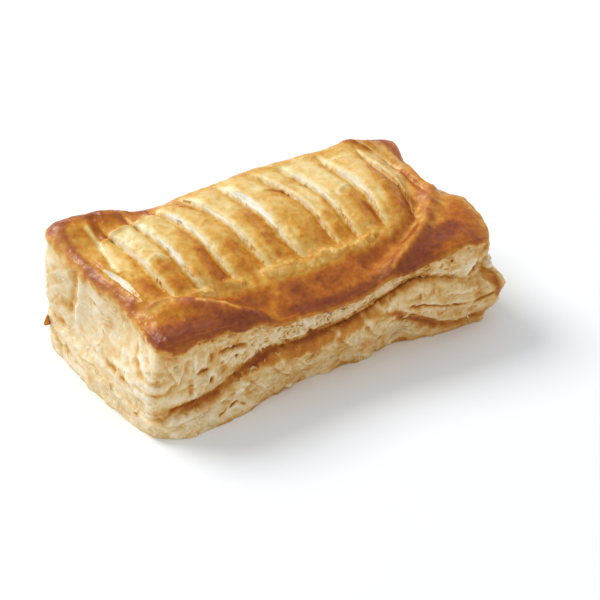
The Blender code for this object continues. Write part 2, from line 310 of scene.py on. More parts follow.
# moves points of the plain box to the baked form, and says what part of the roll each one belongs to
def bakedForm(line, y, z):
    f = rollForm
    seamLevel, crustLevel, topLevel = boxLevels.values()
    box = np.stack([line, y, z], axis=-1)
    low = np.array([f["edgeRadius"] - f["halfLength"], f["edgeRadius"] - f["halfWidth"], 0])
    high = np.array([f["halfLength"], f["halfWidth"], topLevel]) - f["edgeRadius"]
    inner = np.clip(box, low, high)
    outward = box - inner
    size = np.linalg.norm(outward, axis=-1, keepdims=True)
    outward = np.divide(outward, size, out=np.zeros_like(outward), where=size > 0)
    x, y, level = (inner + outward * f["edgeRadius"]).T
    sideways = np.hypot(outward[:, 0], outward[:, 1])
    along = np.abs(outward[:, 1]) / np.maximum(sideways, 1e-9)
    wandering = np.stack([x, y, 0.4 * level], -1)
    wander = 1.3 * lumps(wandering, 7.0, 13) + 0.6 * lumps(wandering, 2.2, 14)
    offset = sideOffset(level, along, x, wander) * sideways
    x = x + leanOf(line, y) * ease((f["halfLength"] - np.abs(line)) / 12)

    top = topHeight(x, y)
    seam = seamHeight(x, y)
    crustEdge = top - through(f["crustDepth"], x)
    lowPart = seam * level / seamLevel
    middlePart = seam + (crustEdge - seam) * (level - seamLevel) / (crustLevel - seamLevel)
    highPart = crustEdge + (top - crustEdge) * (level - crustLevel) / (topLevel - crustLevel)
    height = np.where(level < crustLevel, middlePart, highPart)
    height = np.where(level < seamLevel, lowPart, height)
    plan = np.stack([line, y, 0 * y], -1)
    ragged = 0.16 * lumps(plan, 3.0, 11) + 0.05 * lumps(plan, 1.2, 12)
    strips, inSlit, toast, share, across = stripRelief(line, y, ragged)
    onTop = z > topLevel - 0.01
    height = height + strips * onTop

    x = x + offset * outward[:, 0] / np.maximum(sideways, 1e-9)
    y = y + offset * outward[:, 1] / np.maximum(sideways, 1e-9)
    # the base drawn in, then the left end, the right end and its front corner
    tuck = (through(f["tuck"], x) + f["baseInset"]) * ease((14 - level) / 14)
    y = y - np.sign(y) * tuck * np.clip((np.abs(y) - 6) / (f["halfWidth"] - 6), 0, 1)
    leftward = ease(-x / 8 - 7.2)
    baseShare = ease((y + 40) / 44) * ease((26 - height) / 20)
    topShare = ease((y - 2) / 26) * ease((height - 10) / 14) * (1 - 0.3 * ease((height - 36) / 6))
    insetShare = ease((6 - y) / 18) * ease((height - 16) / 16)
    x = x - leftward * (f["leftBaseFlare"] * baseShare + f["leftTopFlare"] * topShare
                        - f["leftFrontInset"] * insetShare)
    rightward = ease(x / 8 - 7.2)
    rearShare = ease((y + 12) / 24) * ease((height - 16) / 14) * (1 - 0.9 * ease((y - 20) / 12))
    x = x + rightward * (f["rightFlare"] * bell((height - 14) / 8) - f["rightRearCut"] * rearShare
                         - f["rightBaseCut"] * ease(1 - height / 9))
    corner = ease((x - 55) / 13) * ease((-y - 20) / 15) * ease((height - 20) / 4)
    x, y = x - f["rightFrontCut"] * corner, y + 0.6 * f["rightFrontCut"] * corner
    parts = {"level": level, "wander": wander, "inSlit": inSlit * onTop, "toast": toast,
             "share": share, "across": across}
    return np.stack([x, y, height], axis=-1), parts


# places from one end to the other, a step apart and closer at some spots: place, how many more to the
# millimetre, half width
def crowded(low, high, step, spots):
    even = np.linspace(low, high, 4001)
    density = 1 / step + sum(extra * bell((even - at) / halfWidth) for at, extra, halfWidth in spots)
    steps = (density[1:] + density[:-1]) / 2 * (even[1] - even[0])
    grown = np.concatenate([[0], np.cumsum(steps)])
    return np.interp(np.linspace(0, grown[-1], round(grown[-1]) + 1), grown, even)


# the box's grid: rings of points round the sides, a net on top, and wide faces below
def boxGrid():
    f, top = rollForm, boxLevels["top"]
    ys = np.linspace(-f["halfWidth"], f["halfWidth"], round(2 * f["halfWidth"] / f["gridStep"]) + 1)
    # lines lie closer together along the slits, and levels at the crust's edge and at the seam
    xs = crowded(-f["halfLength"], f["halfLength"], f["gridStep"],
                 [(s[0] + 0.4 * max(s[5]), 2.6, 0.4 + 0.6 * max(s[5])) for s in slits])
    zs = crowded(0, top, f["levelStep"], [
        (boxLevels["crust"], 2.2, 0.9), (boxLevels["seam"] + 0.5, 1.6, 1.2)])
    nx, ny, nz = len(xs), len(ys), len(zs)
    ring = [(i, 0) for i in range(nx - 1)] + [(nx - 1, j) for j in range(ny - 1)]
    ring += [(i, ny - 1) for i in range(nx - 1, 0, -1)] + [(0, j) for j in range(ny - 1, 0, -1)]
    ring = np.array(ring)
    nr = len(ring)

    sideNet = np.arange(nr * nz).reshape(nr, nz)
    topNet = np.full((nx, ny), -1)
    topNet[ring[:, 0], ring[:, 1]] = sideNet[:, -1]
    baseNet = np.full((nx, ny), -1)
    baseNet[ring[:, 0], ring[:, 1]] = sideNet[:, 0]
    count = nr * nz
    inner = (nx - 2) * (ny - 2)
    topNet[1:-1, 1:-1] = count + np.arange(inner).reshape(nx - 2, ny - 2)
    count += inner
    rows = [0, 1, 3, 8, 20]
    rows += [ny // 3, ny // 2, 2 * ny // 3] + [ny - 1 - row for row in reversed(rows)]
    inner = (nx - 2) * (len(rows) - 2)
    baseNet[1:-1, rows[1:-1]] = count + np.arange(inner).reshape(nx - 2, len(rows) - 2)
    count += inner

    places = np.zeros((count, 3))
    places[sideNet] = np.stack(np.broadcast_arrays(
        xs[ring[:, 0], None], ys[ring[:, 1], None], zs[None, :]), axis=-1)
    for net, across, z in ((topNet[1:-1, 1:-1], ys[1:-1], top),
                           (baseNet[1:-1, rows[1:-1]], ys[rows[1:-1]], 0)):
        places[net] = np.stack(np.broadcast_arrays(xs[1:-1, None], across[None, :], z), axis=-1)

    around = np.roll(sideNet, -1, axis=0)
    sideQuads = [sideNet[:, :-1], around[:, :-1], around[:, 1:], sideNet[:, 1:]]
    topQuads = [topNet[:-1, :-1], topNet[1:, :-1], topNet[1:, 1:], topNet[:-1, 1:]]
    quads = np.concatenate([np.stack(q, -1).reshape(-1, 4) for q in (sideQuads, topQuads)])
    under = []
    for i in range(nx - 1):
        for a, b in zip(rows[:-1], rows[1:]):
            left = baseNet[i, a:b + 1] if i == 0 else baseNet[i, [a, b]]
            right = baseNet[i + 1, a:b + 1] if i == nx - 2 else baseNet[i + 1, [a, b]]
            under.append([*left.tolist(), *right[::-1].tolist()])
    return {"places": places, "quads": quads, "under": under, "sideNet": sideNet, "topNet": topNet,
            "baseNet": baseNet[1:-1][:, rows], "baseShares": (ys[rows] - ys[0]) / np.ptp(ys),
            "xs": xs, "ys": ys, "zs": zs, "sideFaces": nr * (nz - 1)}


# outward directions of the surface at its points
def normalsOf(places, quads):
    a, b, c, d = (places[quads[:, corner]] for corner in range(4))
    across = np.cross(c - a, d - b)
    total = np.zeros_like(places)
    for corner in range(4):
        for axis in range(3):
            total[:, axis] += np.bincount(quads[:, corner], across[:, axis], len(places))
    total[total[:, 2] == 0] += [0, 0, -1e-9]  # points in no four-sided face lie on the base
    return total / np.maximum(np.linalg.norm(total, axis=1, keepdims=True), 1e-12)


# the points eased towards their neighbours a number of times
def relaxed(values, quads, times):
    pairs = np.concatenate([quads[:, [0, 1]], quads[:, [1, 2]], quads[:, [2, 3]], quads[:, [3, 0]]])
    count = np.maximum(np.bincount(pairs[:, 0], minlength=len(values)), 1)
    values = values.reshape(len(values), -1).copy()
    for _ in range(times):
        near = np.stack([np.bincount(pairs[:, 0], values[pairs[:, 1], k], len(values))
                         for k in range(values.shape[1])], -1)
        values = np.where(near == 0, values, 0.4 * values + 0.6 * near / count[:, None])
    return values


# how far each point stands out of its surroundings, in millimetres: below 0 in a hollow
def standingOut(places, quads, normals, times):
    return ((places - relaxed(places, quads, times)) * normals).sum(1)


# Leaves of pastry on the open sides, from the large ones beneath to the small ones on top. Each is a
# thin torn oval, held along one edge and free at the other: half length, half height, how far it stands
# off, and how far it is turned at random, in degrees
sideLeaves = {
    "passes": [
        {"count": 340, "length": (2.8, 7.0), "height": (1.6, 3.6), "lift": (0.3, 0.8), "turn": 16},
        {"count": 340, "length": (1.4, 3.6), "height": (0.7, 1.6), "lift": (0.2, 0.45), "turn": 22},
        {"count": 300, "length": (0.7, 1.7), "height": (0.35, 0.8), "lift": (0.1, 0.22), "turn": 30},
    ],
    "upsideDown": 0.22,  # share of them that are free at the top
    "lowest": 0.3,
    # slant of the lower layer's leaves along the front, in degrees
    "frontSlant": [(-68, -4), (-42, -10), (-24, -42), (20, -46), (36, -32), (60, -12), (68, -8)],
    "seed": 21,
}


# relief of the leaves, a tone for each, their free edges, and the shade beneath these
def layLeaves(arc, around, height, crustEdge, seam, sides):
    f = sideLeaves
    rng = np.random.default_rng(f["seed"])
    nr, nz = height.shape
    relief, tone, lipEdge, under = (np.zeros((nr, nz)) for _ in range(4))
    unrolled = np.concatenate([arc - around, arc, arc + around])
    for leaves in f["passes"]:
        for _ in range(leaves["count"]):
            at = rng.random() * around
            k = int(np.searchsorted(arc, at)) % nr
            size = rng.random() ** 1.4
            a, b, lift = (v[0] + (v[1] - v[0]) * size * rng.uniform(0.7, 1.2)
                          for v in (leaves["length"], leaves["height"], leaves["lift"]))
            z = f["lowest"] + (crustEdge[k] - 0.4 * b - f["lowest"]) * rng.random() ** 1.25
            l = int(np.argmin(np.abs(height[k] - z)))
            k2 = (k + 6) % nr
            slope = (height[k2, l] - height[k, l]) / max((arc[k2] - arc[k]) % around, 1e-6)
            slant = 0.0
            if sides[k][1] < -30 and z < seam[k]:
                slant = float(through(f["frontSlant"], sides[k][0]))
            angle = math.atan(slope) + math.radians(slant + rng.normal(0, leaves["turn"]))
            low, high = np.searchsorted(unrolled, [at - 1.3 * a, at + 1.3 * a])
            ks = np.arange(low, high) % nr
            ds = (unrolled[low:high] - at)[:, None]
            dz = height[ks] - z
            p = (math.cos(angle) * ds + math.sin(angle) * dz) / a
            q = (-math.sin(angle) * ds + math.cos(angle) * dz) / b
            if rng.random() < f["upsideDown"]:
                q = -q
            bearing = np.arctan2(q, p)
            torn = sum(rng.uniform(0.03, 0.12) * np.sin(n * bearing + rng.uniform(0, 6.3))
                       for n in (2, 3, 5, 8, 13))
            r = np.hypot(p, q) * (1 + torn)
            held = np.where(r < 1, 1 - ease((q + 0.05) / 0.95), 0)
            base = 0.5 * relief[k, l]
            curl = 0.4 * ease((r - 0.62) / 0.38) * rng.uniform(-0.2, 1)
            ripple = 0.12 * np.sin(rng.uniform(2, 5) * p + rng.uniform(0, 6))
            sheet = base + lift * (0.4 - 0.6 * q + curl + ripple)
            relief[ks] = relief[ks] * (1 - held) + np.maximum(sheet, relief[ks] * 0.5) * held
            tone[ks] = tone[ks] * (1 - held) + rng.normal(0, 1) * held
            lipEdge[ks] = lipEdge[ks] * (1 - held) + ease((r - 0.78) / 0.18) * held
            # the strip just outside the free edge lies in the leaf's shade
            below = np.where((r >= 1) & (q < 0.1), bell((r - 1) * b / 0.45), 0) * lift
            under[ks] = np.maximum(under[ks] * (1 - held), below)
    return relief - 0.2 * under, tone, lipEdge, under


# Folds, sheets and cracks on the front and on the left end: path as (along the side, height), half
# width, height, change of browning, and 1 for a sheet that ends on the line and lies to the left of the
# path's direction, or 0 for a ridge or furrow. The other two sides take them mirrored. Where the change
# darkens furrows and cracks it is painted shade, and the paler ridges are partly a painted highlight.
frontMarks = [
    ([(-47.7, 20.6), (-47.2, 24), (-46.4, 27.4)], 1.2, 0.8, -0.04, 1),
    ([(-51.8, 28), (-52.4, 24.5), (-52.2, 20.8)], 1.0, 0.6, -0.04, 1),
    ([(-45.6, 26), (-45.2, 24), (-46.2, 22)], 0.7, -0.8, 0.18, 0),
    ([(-53.8, 26.5), (-54.8, 23.5), (-54.2, 21)], 0.8, -0.5, 0.14, 0),
    ([(-62.5, 27), (-59.8, 22.5), (-58.4, 18)], 1.0, 0.9, 0.0, 1),
    ([(-58.3, 18.2), (-56.8, 21.6), (-54.6, 23.2)], 1.0, 0.8, 0.0, 1),
    ([(-50.8, 19.8), (-48.6, 20.4), (-46.6, 20)], 0.4, -1.0, 0.4, 0),
    ([(-47.4, 14.5), (-47.2, 17.6), (-45.6, 18.8), (-44.2, 17.6), (-44.6, 15)], 0.5, 1.0, -0.06, 0),
    ([(-46.0, 14.6), (-45.8, 17)], 0.6, -1.2, 0.34, 0),
    ([(-52.4, 19.5), (-52.7, 15.5), (-52.4, 11.6)], 0.9, 0.6, 0.0, 1),
    ([(-48.4, 12), (-48.0, 15.6), (-47.8, 19)], 0.9, 0.6, 0.0, 1),
    ([(-53.6, 18.5), (-53.9, 15), (-53.4, 12)], 0.7, -0.5, 0.14, 0),
    ([(-42.5, 24.2), (-38.5, 25), (-34.5, 24.8), (-31.8, 23.6)], 0.8, -1.3, 0.34, 0),
    ([(-36.4, 21.8), (-35.2, 20.6)], 0.5, -1.4, 0.5, 0),
    ([(-42, 20.2), (-40.5, 21.2)], 0.5, -1.0, 0.3, 0),
    ([(-50.4, 31), (-49.6, 31.4)], 0.5, -0.9, 0.4, 0),
    ([(-47.8, 31.8), (-47, 31.3)], 0.5, -0.9, 0.4, 0),
    ([(-45.6, 30.6), (-44.8, 31)], 0.4, -0.8, 0.34, 0),
    ([(-45, 2.6), (-43, 3.2), (-41.4, 4.6)], 0.22, -0.7, 0.4, 0),
    ([(-41.2, 4.0), (-38.6, 5.5), (-36.8, 5.2)], 0.24, -0.7, 0.45, 0),
    ([(-36.8, 4.4), (-34.4, 3.4)], 0.24, -0.5, 0.3, 0),
    ([(-44, 3), (-39, 4.4), (-35, 2.6)], 0.7, 0.8, -0.06, 0),
    ([(-37.6, 7.5), (-36.2, 10.5), (-34.6, 12.8)], 0.7, 0.8, -0.05, 0),
    ([(-33, 14), (-30, 9.5), (-26, 5)], 1.0, 0.9, 0.0, 1),
    ([(-24, 15), (-20, 10), (-15, 6)], 1.0, 0.9, 0.0, 1),
    ([(-16, 15), (-12, 11), (-8, 8)], 0.9, 0.8, 0.0, 1),
    ([(-1, 20), (3, 15), (8, 9)], 1.1, 1.0, 0.0, 1),
    ([(11, 19.5), (15, 13.5), (20, 9)], 1.1, 0.9, 0.0, 1),
    ([(25, 16), (31, 13), (37, 8.8), (42, 5.6), (49, 3.4), (58, 3.4)], 2.0, -0.6, 0.10, 0),
    ([(24, 18), (30, 16.4), (37, 11.5), (43, 7.5), (50, 5.6), (58, 6)], 1.3, 1.2, 0.0, 1),
    ([(26, 20.6), (33, 18.8), (41, 16), (50, 13), (58, 12)], 0.9, 0.8, 0.0, 1),
    ([(27, 19.6), (35, 17.4), (45, 13.8), (55, 11.4)], 0.45, -0.6, 0.26, 0),
    ([(44, 19), (51, 17), (58, 17.3)], 0.9, 0.7, 0.0, 1),
    ([(52.4, 22.6), (55, 25.8), (58.5, 27.6)], 0.8, 0.9, -0.06, 0),
    ([(58.5, 27.6), (60.4, 24.6), (62, 21.6)], 0.8, 0.9, -0.06, 0),
    ([(54, 21.4), (57, 22.8), (60, 21.4)], 1.2, -0.8, 0.30, 0),
    ([(56, 10.6), (61, 11.6), (66, 12)], 0.8, -0.5, 0.34, 0),
    ([(43, 28), (44.4, 29.6)], 0.5, -0.7, 0.3, 0),
    ([(47, 30.4), (48, 29.2)], 0.5, -0.7, 0.3, 0),
    ([(45, 26.6), (46.6, 27)], 0.4, -0.6, 0.26, 0),
]
# Places on the front that are browned like the crust, also mirrored onto the rear side: path, half
# width, how far browned
toastedPatches = [
    ([(-61, 9.2), (-56, 9.6)], 0.7, 0.44),
    ([(-55, 9.6), (-49, 9.6), (-44, 10.4)], 0.8, 0.52),
    ([(-43, 11.4), (-38, 13.6), (-34, 15.6)], 0.6, 0.56),
    ([(-34, 15.6), (-28, 17.2)], 0.9, 0.50),
    ([(-27, 17.2), (-21, 17.4)], 1.7, 0.60),
    ([(-18, 16.6), (-10, 17.2), (-3, 18)], 2.2, 0.74),
    ([(3.5, 18), (9, 19)], 1.8, 0.66),
    ([(14, 20.6), (20, 19.5), (26, 17)], 1.0, 0.58),
    ([(25, 15.6), (31, 12.6), (37, 8.6), (42, 5.6)], 1.1, 0.42),
    ([(42, 5.2), (49, 3.4), (58, 3.0), (64, 4.4)], 1.1, 0.45),
    ([(63, 19), (65, 16), (66.5, 12)], 1.4, 0.46),
]
leftMarks = [
    ([(14.4, 19), (14, 25), (13, 31), (11, 41)], 1.6, 1.5, -0.03, 1),
    ([(13.2, 41), (14.8, 35), (15.9, 29), (16.6, 21)], 1.3, -1.2, 0.16, 0),
    ([(15.5, 23.5), (21, 24), (25.5, 22)], 1.6, -0.9, 0.14, 0),
    ([(34, 21.5), (27, 27), (19, 33)], 0.9, 0.55, 0.0, 1),
    ([(36, 26), (29, 31), (21, 37)], 0.9, 0.55, 0.0, 1),
    ([(33, 17), (27, 20), (21, 27)], 0.9, 0.55, 0.04, 1),
    ([(-20, 34), (-21, 27), (-26, 22.4), (-33, 21.6), (-39, 23.6)], 1.2, 0.7, -0.05, 0),
    ([(-15, 30), (-17, 23), (-24, 18.6), (-33, 18), (-39, 20)], 1.2, 0.7, -0.05, 0),
    ([(-27, 31), (-29, 26.6), (-34, 25)], 1.0, 0.6, -0.04, 0),
    ([(-18.5, 31), (-20.5, 23.6), (-28, 19.8), (-38, 21.4)], 0.8, -0.6, 0.14, 0),
    ([(-12, 24), (-16, 18), (-24, 14.8), (-34, 14.6), (-39, 15.6)], 1.5, 1.0, -0.05, 0),
    ([(-22, 15.4), (-30, 15.8), (-40, 17)], 0.4, -0.7, 0.20, 0),
    ([(-5, 15), (-9, 14.8), (-12.5, 14.2)], 1.0, -0.7, 0.30, 0),
    ([(2.7, 18.6), (-7.5, 16.4), (-17.5, 18.3), (-25, 22), (-32, 26)], 0.8, 0.6, -0.03, 0),
    ([(3.8, 14.1), (-4.9, 12), (-14.9, 13.6), (-24, 17), (-32, 22.5)], 0.8, 0.6, -0.03, 0),
    ([(1, 24), (-8, 21.6), (-18, 23), (-27, 27)], 0.9, 0.5, -0.03, 0),
    ([(-0.2, 5.7), (-12, 8.6), (-27, 14.3)], 0.8, 0.5, -0.03, 0),
    ([(-14, 14), (-17.5, 14)], 0.6, -0.5, 0.22, 0),
    ([(-24, 5.5), (-25, 8.5), (-23.6, 12.6), (-19.5, 15), (-14, 14.4)], 1.2, 1.0, 0.05, 1),
    ([(-24.6, 6.4), (-26, 4.6)], 1.1, -0.6, 0.36, 0),
    ([(19.5, 8), (17.5, 4.6)], 1.6, -0.4, 0.24, 0),
    ([(27, 8.4), (22, 4)], 1.3, -0.3, 0.20, 0),
    ([(29, 15), (25, 14), (21, 15)], 0.9, -0.6, 0.18, 0),
    ([(-4, 16.4), (4, 15.2), (13, 16.4)], 0.9, 0.55, 0.04, 1),
    ([(-9, 8.6), (0, 10.6), (10, 9.2)], 0.9, 0.55, 0.03, 1),
    ([(-2, 5), (6, 6.4), (14, 5)], 0.8, 0.6, 0.05, 1),
    ([(-34, 9), (-30, 11.5), (-23, 12)], 0.9, 0.7, 0.0, 1),
    ([(-8, 28), (-8.6, 31), (-8, 34)], 0.5, 0.5, 0.06, 0),
]

# Open, bubbly layers along the front under the crust, and on the rear side: (along the roll, strength)
lace = {
    "front": [(-68, 0.05), (-46, 0.15), (-38, 0.6), (-26, 1), (10, 1), (20, 0.75), (27, 0.3), (36, 0.1),
              (42, 0.4), (50, 0.3), (56, 0.05), (68, 0.05)],
    "rear": [(-68, 0.1), (-50, 0.2), (-30, 0.9), (-5, 0.3), (20, 0.9), (45, 0.8), (68, 0.1)],
    "cell": (1.7, 1.2),
    "depth": 1.0,
    "recess": 0.8,
}

# Pale, ruffled blisters where the front ends of the slits have puffed up: path in plan, half width
frill = [
    ([(-39.5, -15.6), (-34, -16.8)], 1.3),
    ([(-29, -15.6), (-23.5, -17.8)], 1.4),
    ([(-14.5, -17.4), (-10, -16.8), (-3, -16.8), (4, -17.4), (11, -17.8)], 2.0),
    ([(11, -17.4), (16, -17.8), (21, -17.8)], 1.5),
    ([(21, -17.4), (25, -16.8), (28, -16.4)], 1.7),
]
frillBubbles = {"spacing": 1.0, "spread": 1.7, "radius": (1.0, 2.6), "height": (0.5, 1.1), "seed": 19}
# Small openings behind the slits' rear ends: path in plan, half width
gaps = [([(31.5, 21.4), (34, 22.4), (37.6, 22.2)], 0.7)]
# Small blisters scattered over the top
blisters = {
    "count": 620,
    "radius": (0.4, 1.3),
    "height": (0.05, 0.24),
    "spread": ((-64, 62), (-31, 30)),  # along X and Y
    "seed": 8,
}

# Browned and pale patches of the crust: path in plan, half width, how far browned. Two of the pale lines
# are painted highlights and one dark line is painted shade, as noted
crustPatches = [
    ([(-70, 29), (-69.5, 14), (-68, 2), (-65.5, -12)], 2.6, 0.48),
    ([(-66.5, 26), (-66, 12), (-65.4, 0), (-63, -13)], 2.0, 0.66),
    ([(-67.5, 9), (-67, 1)], 1.6, 0.70),
    ([(-64.5, 26), (-64, 10), (-63, 0)], 1.4, 0.46),
    ([(-66, -3), (-64, -12)], 1.6, 0.58),
    ([(-69, 31), (-60, 31.5), (-54, 30)], 2.6, 0.62),
    ([(-64, 26), (-60, 24)], 2.0, 0.52),
    ([(-62, -17), (-54, -16), (-47, -17.5), (-41, -21)], 2.4, 0.46),
    ([(-61, -22), (-52, -22.5), (-48, -23)], 3.0, 0.52),
    ([(-63, -30), (-50, -30.4), (-42, -32), (-34, -35)], 4.4, 0.86),
    ([(-44, -21), (-36, -22), (-29, -24), (-21, -28)], 4.6, 0.70),
    ([(-31, -22), (-25, -25)], 2.2, 0.76),
    # a painted highlight along the crest of the front-left lip
    ([(-43, -20.6), (-37, -25), (-31, -31.4)], 0.7, 0.34),
    ([(-14.5, -21), (-18, -27), (-23, -34)], 1.5, 0.53),
    ([(-9, -24), (-7, -29)], 2.6, 0.74),
    ([(3, -24), (12, -26)], 3.4, 0.66),
    ([(15, -22), (24, -24)], 3.0, 0.64),
    ([(-13, -32.6), (4, -32.4), (18, -33), (27, -32)], 1.9, 0.84),
    ([(-46, -30), (-34, -32.6), (-25, -35)], 3.0, 0.86),
    ([(-28, -35.8), (0, -36), (24, -35.8)], 1.2, 0.50),
    ([(29, -22), (37, -19), (44, -14), (48.6, -6)], 2.6, 0.64),
    ([(33, -25), (42, -19)], 1.6, 0.74),
    ([(27, -36), (36, -32), (46, -28), (53, -25)], 3.6, 0.88),
    # along the right ridge's crest: paler gold, partly a painted highlight
    ([(25, -32.6), (31, -29), (40, -24), (46, -19.4), (52, -12.6)], 1.0, 0.48),
    ([(56, -18), (60, -23), (61, -30)], 3.4, 0.60),
    ([(65, -14), (66, -26), (63, -34)], 2.4, 0.47),
    ([(59, -8), (60, 2), (59.6, 12)], 2.0, 0.46),
    ([(48.5, -19), (53, -13), (56.5, -6)], 2.4, 0.58),
    # painted shade in a groove near the right end
    ([(54.6, -6), (56, 2), (56, 11)], 0.9, 0.66),
    ([(57, 28), (60, 22)], 3.0, 0.40),
    ([(62.5, 32), (63.5, 20)], 1.8, 0.68),
    ([(45, 30), (50, 25)], 2.2, 0.58),
    ([(-55, -3), (-53, -11)], 2.4, 0.56),
    ([(-55, 16), (-55.5, 4)], 2.2, 0.26),
    ([(-47, 17), (-46, 3)], 3.6, 0.22),
    ([(-45.4, -3), (-44.4, -11)], 3.0, 0.55),
    ([(-49.6, 0.4), (-46, 1.4), (-42.4, 0.6)], 0.7, 0.16),
    ([(-39, 16), (-35, 10)], 2.6, 0.26),
    ([(-33, 8), (-31, 0)], 2.2, 0.42),
    ([(-31.4, -3), (-30, -13)], 2.6, 0.60),
    ([(-26, 24), (-23.5, 19)], 2.4, 0.46),
    ([(-25, 10), (-22, 2)], 2.4, 0.34),
    ([(-20.6, -3), (-19.4, -15)], 2.4, 0.53),
    ([(-14, 18), (-11.5, 11)], 3.0, 0.27),
    ([(-8.5, 8), (-7, 0)], 3.0, 0.47),
    ([(-7, -5), (-6, -12)], 2.4, 0.54),
    ([(7, 8), (8, -2)], 4.0, 0.37),
    ([(6, -5), (9, -12)], 4.0, 0.46),
    ([(2.6, 14), (2.4, -8)], 1.0, 0.36),
    ([(6, 14.4), (9, 14)], 1.6, 0.50),
    ([(-6, 25), (6, 25)], 4.0, 0.25),
    ([(14, 26), (26, 26)], 4.0, 0.25),
    ([(15.6, 12), (17.4, 1)], 2.0, 0.22),
    ([(17.4, -4), (17.6, -13)], 2.0, 0.50),
    ([(24, 19), (27, 8)], 4.6, 0.20),
    ([(30, 0), (31, -11)], 2.8, 0.50),
    ([(31.8, -3), (32.4, -8)], 1.0, 0.66),
    ([(25, -3), (25.4, -13)], 1.4, 0.36),
    ([(25, 3), (29, 5.6), (33, 7)], 0.8, 0.16),
    ([(38, 10), (39, -6)], 1.4, 0.28),
    ([(44.6, 12), (44, 3)], 2.4, 0.50),
    ([(43, -2), (43.4, -11)], 2.8, 0.55),
    ([(51.6, 12), (51.4, 0)], 2.0, 0.36),
    ([(53, -4), (51, -12)], 1.8, 0.52),
    ([(34, 27), (42, 27)], 4.0, 0.28),
    ([(-58.5, 26), (-57, 20), (-58, 10), (-58.8, 4)], 0.9, 0.14),
    ([(-44, 34.4), (-20, 34.6), (10, 34.8), (40, 34.4), (60, 34)], 2.6, 0.72),
    ([(52, 28), (55.5, 21.5), (58, 15)], 0.7, 0.16),
]

# The groove at the right, where the egg wash is thin and dull: share of it that is missing
dullGroove = {"path": [(19, -32), (28, -28), (40, -20), (46, -14)], "halfWidth": 3.4, "loss": 0.5}
# Ridges where the egg wash has a broad pale shine: path in plan, half width
glossyRidges = [
    ([(-70, 30), (-68, 14), (-67, 2), (-64.5, -12)], 4.0),
    ([(46, -18), (52, -10), (56, -2)], 1.4),
    ([(-60, -17), (-50, -16), (-42, -20.5), (-36, -25)], 1.4),
]

# The browned basin behind the left strips: its front edge, as (along the roll, across it)
basin = {
    "edge": [(-60, 22), (-57, 20.4), (-52, 18.8), (-43, 18.8), (-41, 20), (-36, 22), (-31, 25.5)],
    "tone": 0.56,
}

# Raised lines on the crust: path in plan, half width, height
crustLines = [
    ([(-60, -17), (-50, -15.4), (-42, -20.4), (-37, -24.8), (-31, -31.2)], 0.7, 0.5),
    ([(-50, 0.2), (-46, 1.6), (-42.2, 0.4)], 0.6, 0.5),
    ([(25, 3), (29, 5.6), (33.5, 7.2)], 0.6, 0.5),
    ([(40, 1.2), (44, 1.8), (48.5, 0.4)], 0.6, 0.45),
    ([(-12, 12), (-8, 13), (-5, 12)], 0.5, 0.3),
    ([(-24, 9), (-21, 10), (-18, 9)], 0.5, 0.3),
    ([(15, 14), (17.5, 14.8), (20, 13.8)], 0.6, 0.5),
    ([(2, 14.6), (6, 15.6), (11, 14.4)], 0.7, 0.5),
    ([(-57, 19.4), (-50, 18.6), (-43, 19.2), (-38, 22)], 0.9, 0.9),
    ([(46, 30), (52, 24), (57, 15)], 0.8, 0.6),
]


# heights of round bumps on a net of points, where the highest one at a point counts
def addBumps(net, x, y, centres, radii, heights):
    out = np.zeros(net.shape)
    for (cx, cy), radius, height in zip(centres, radii, heights):
        i = int(np.argmin(np.abs(x[:, net.shape[1] // 2] - cx)))
        j = int(np.argmin(np.abs(y[net.shape[0] // 2] - cy)))
        n = int(radius * 2 / rollForm["gridStep"]) + 6
        box = np.s_[max(i - 2 * n, 0):i + 2 * n, max(j - n, 0):j + n]
        gap = np.hypot(x[box] - cx, y[box] - cy) / radius
        out[box] = np.maximum(out[box], height * np.clip(1 - gap**2, 0, 1) ** 0.7)
    return out


# How far the open sides are browned, from 0, dough, to 1, dark brown, and what changes that, painted
# light and shade among it
sideTones = {
    "plain": 0.15,
    "front": 0.10,
    "right": 0.03,
    "left": 0.06,
    "rear": 0.05,
    "eachLeaf": 0.03,
    # free edges of the leaves are paler: thin dough, and partly a painted highlight
    "paleLitLeafEdges": -0.05,
    "folds": -0.05,
    "clouds": 0.06,
    "blotches": 0.14,
    "layers": 0.015,
    # painted shade in the lace's holes
    "holes": 0.20,
    "underCrust": 0.24,
    "seam": 0.40,
    "underSeam": 0.14,
    "baseRim": 0.20,
    # strength of the brown line along the front's seam
    "frontSeam": [(-68, 0.1), (-58, 0.4), (-46, 0.5), (-30, 0.65), (-12, 1), (30, 1.1), (38, 0.9),
                  (46, 0.6), (56, 0.35), (68, 0.2)],
}


# strength along a line, faded out at both ends, from the share of its length
def fadeEnds(share, steepness, start):
    return ease(share * steepness + start) * ease((1 - share) * steepness + start)
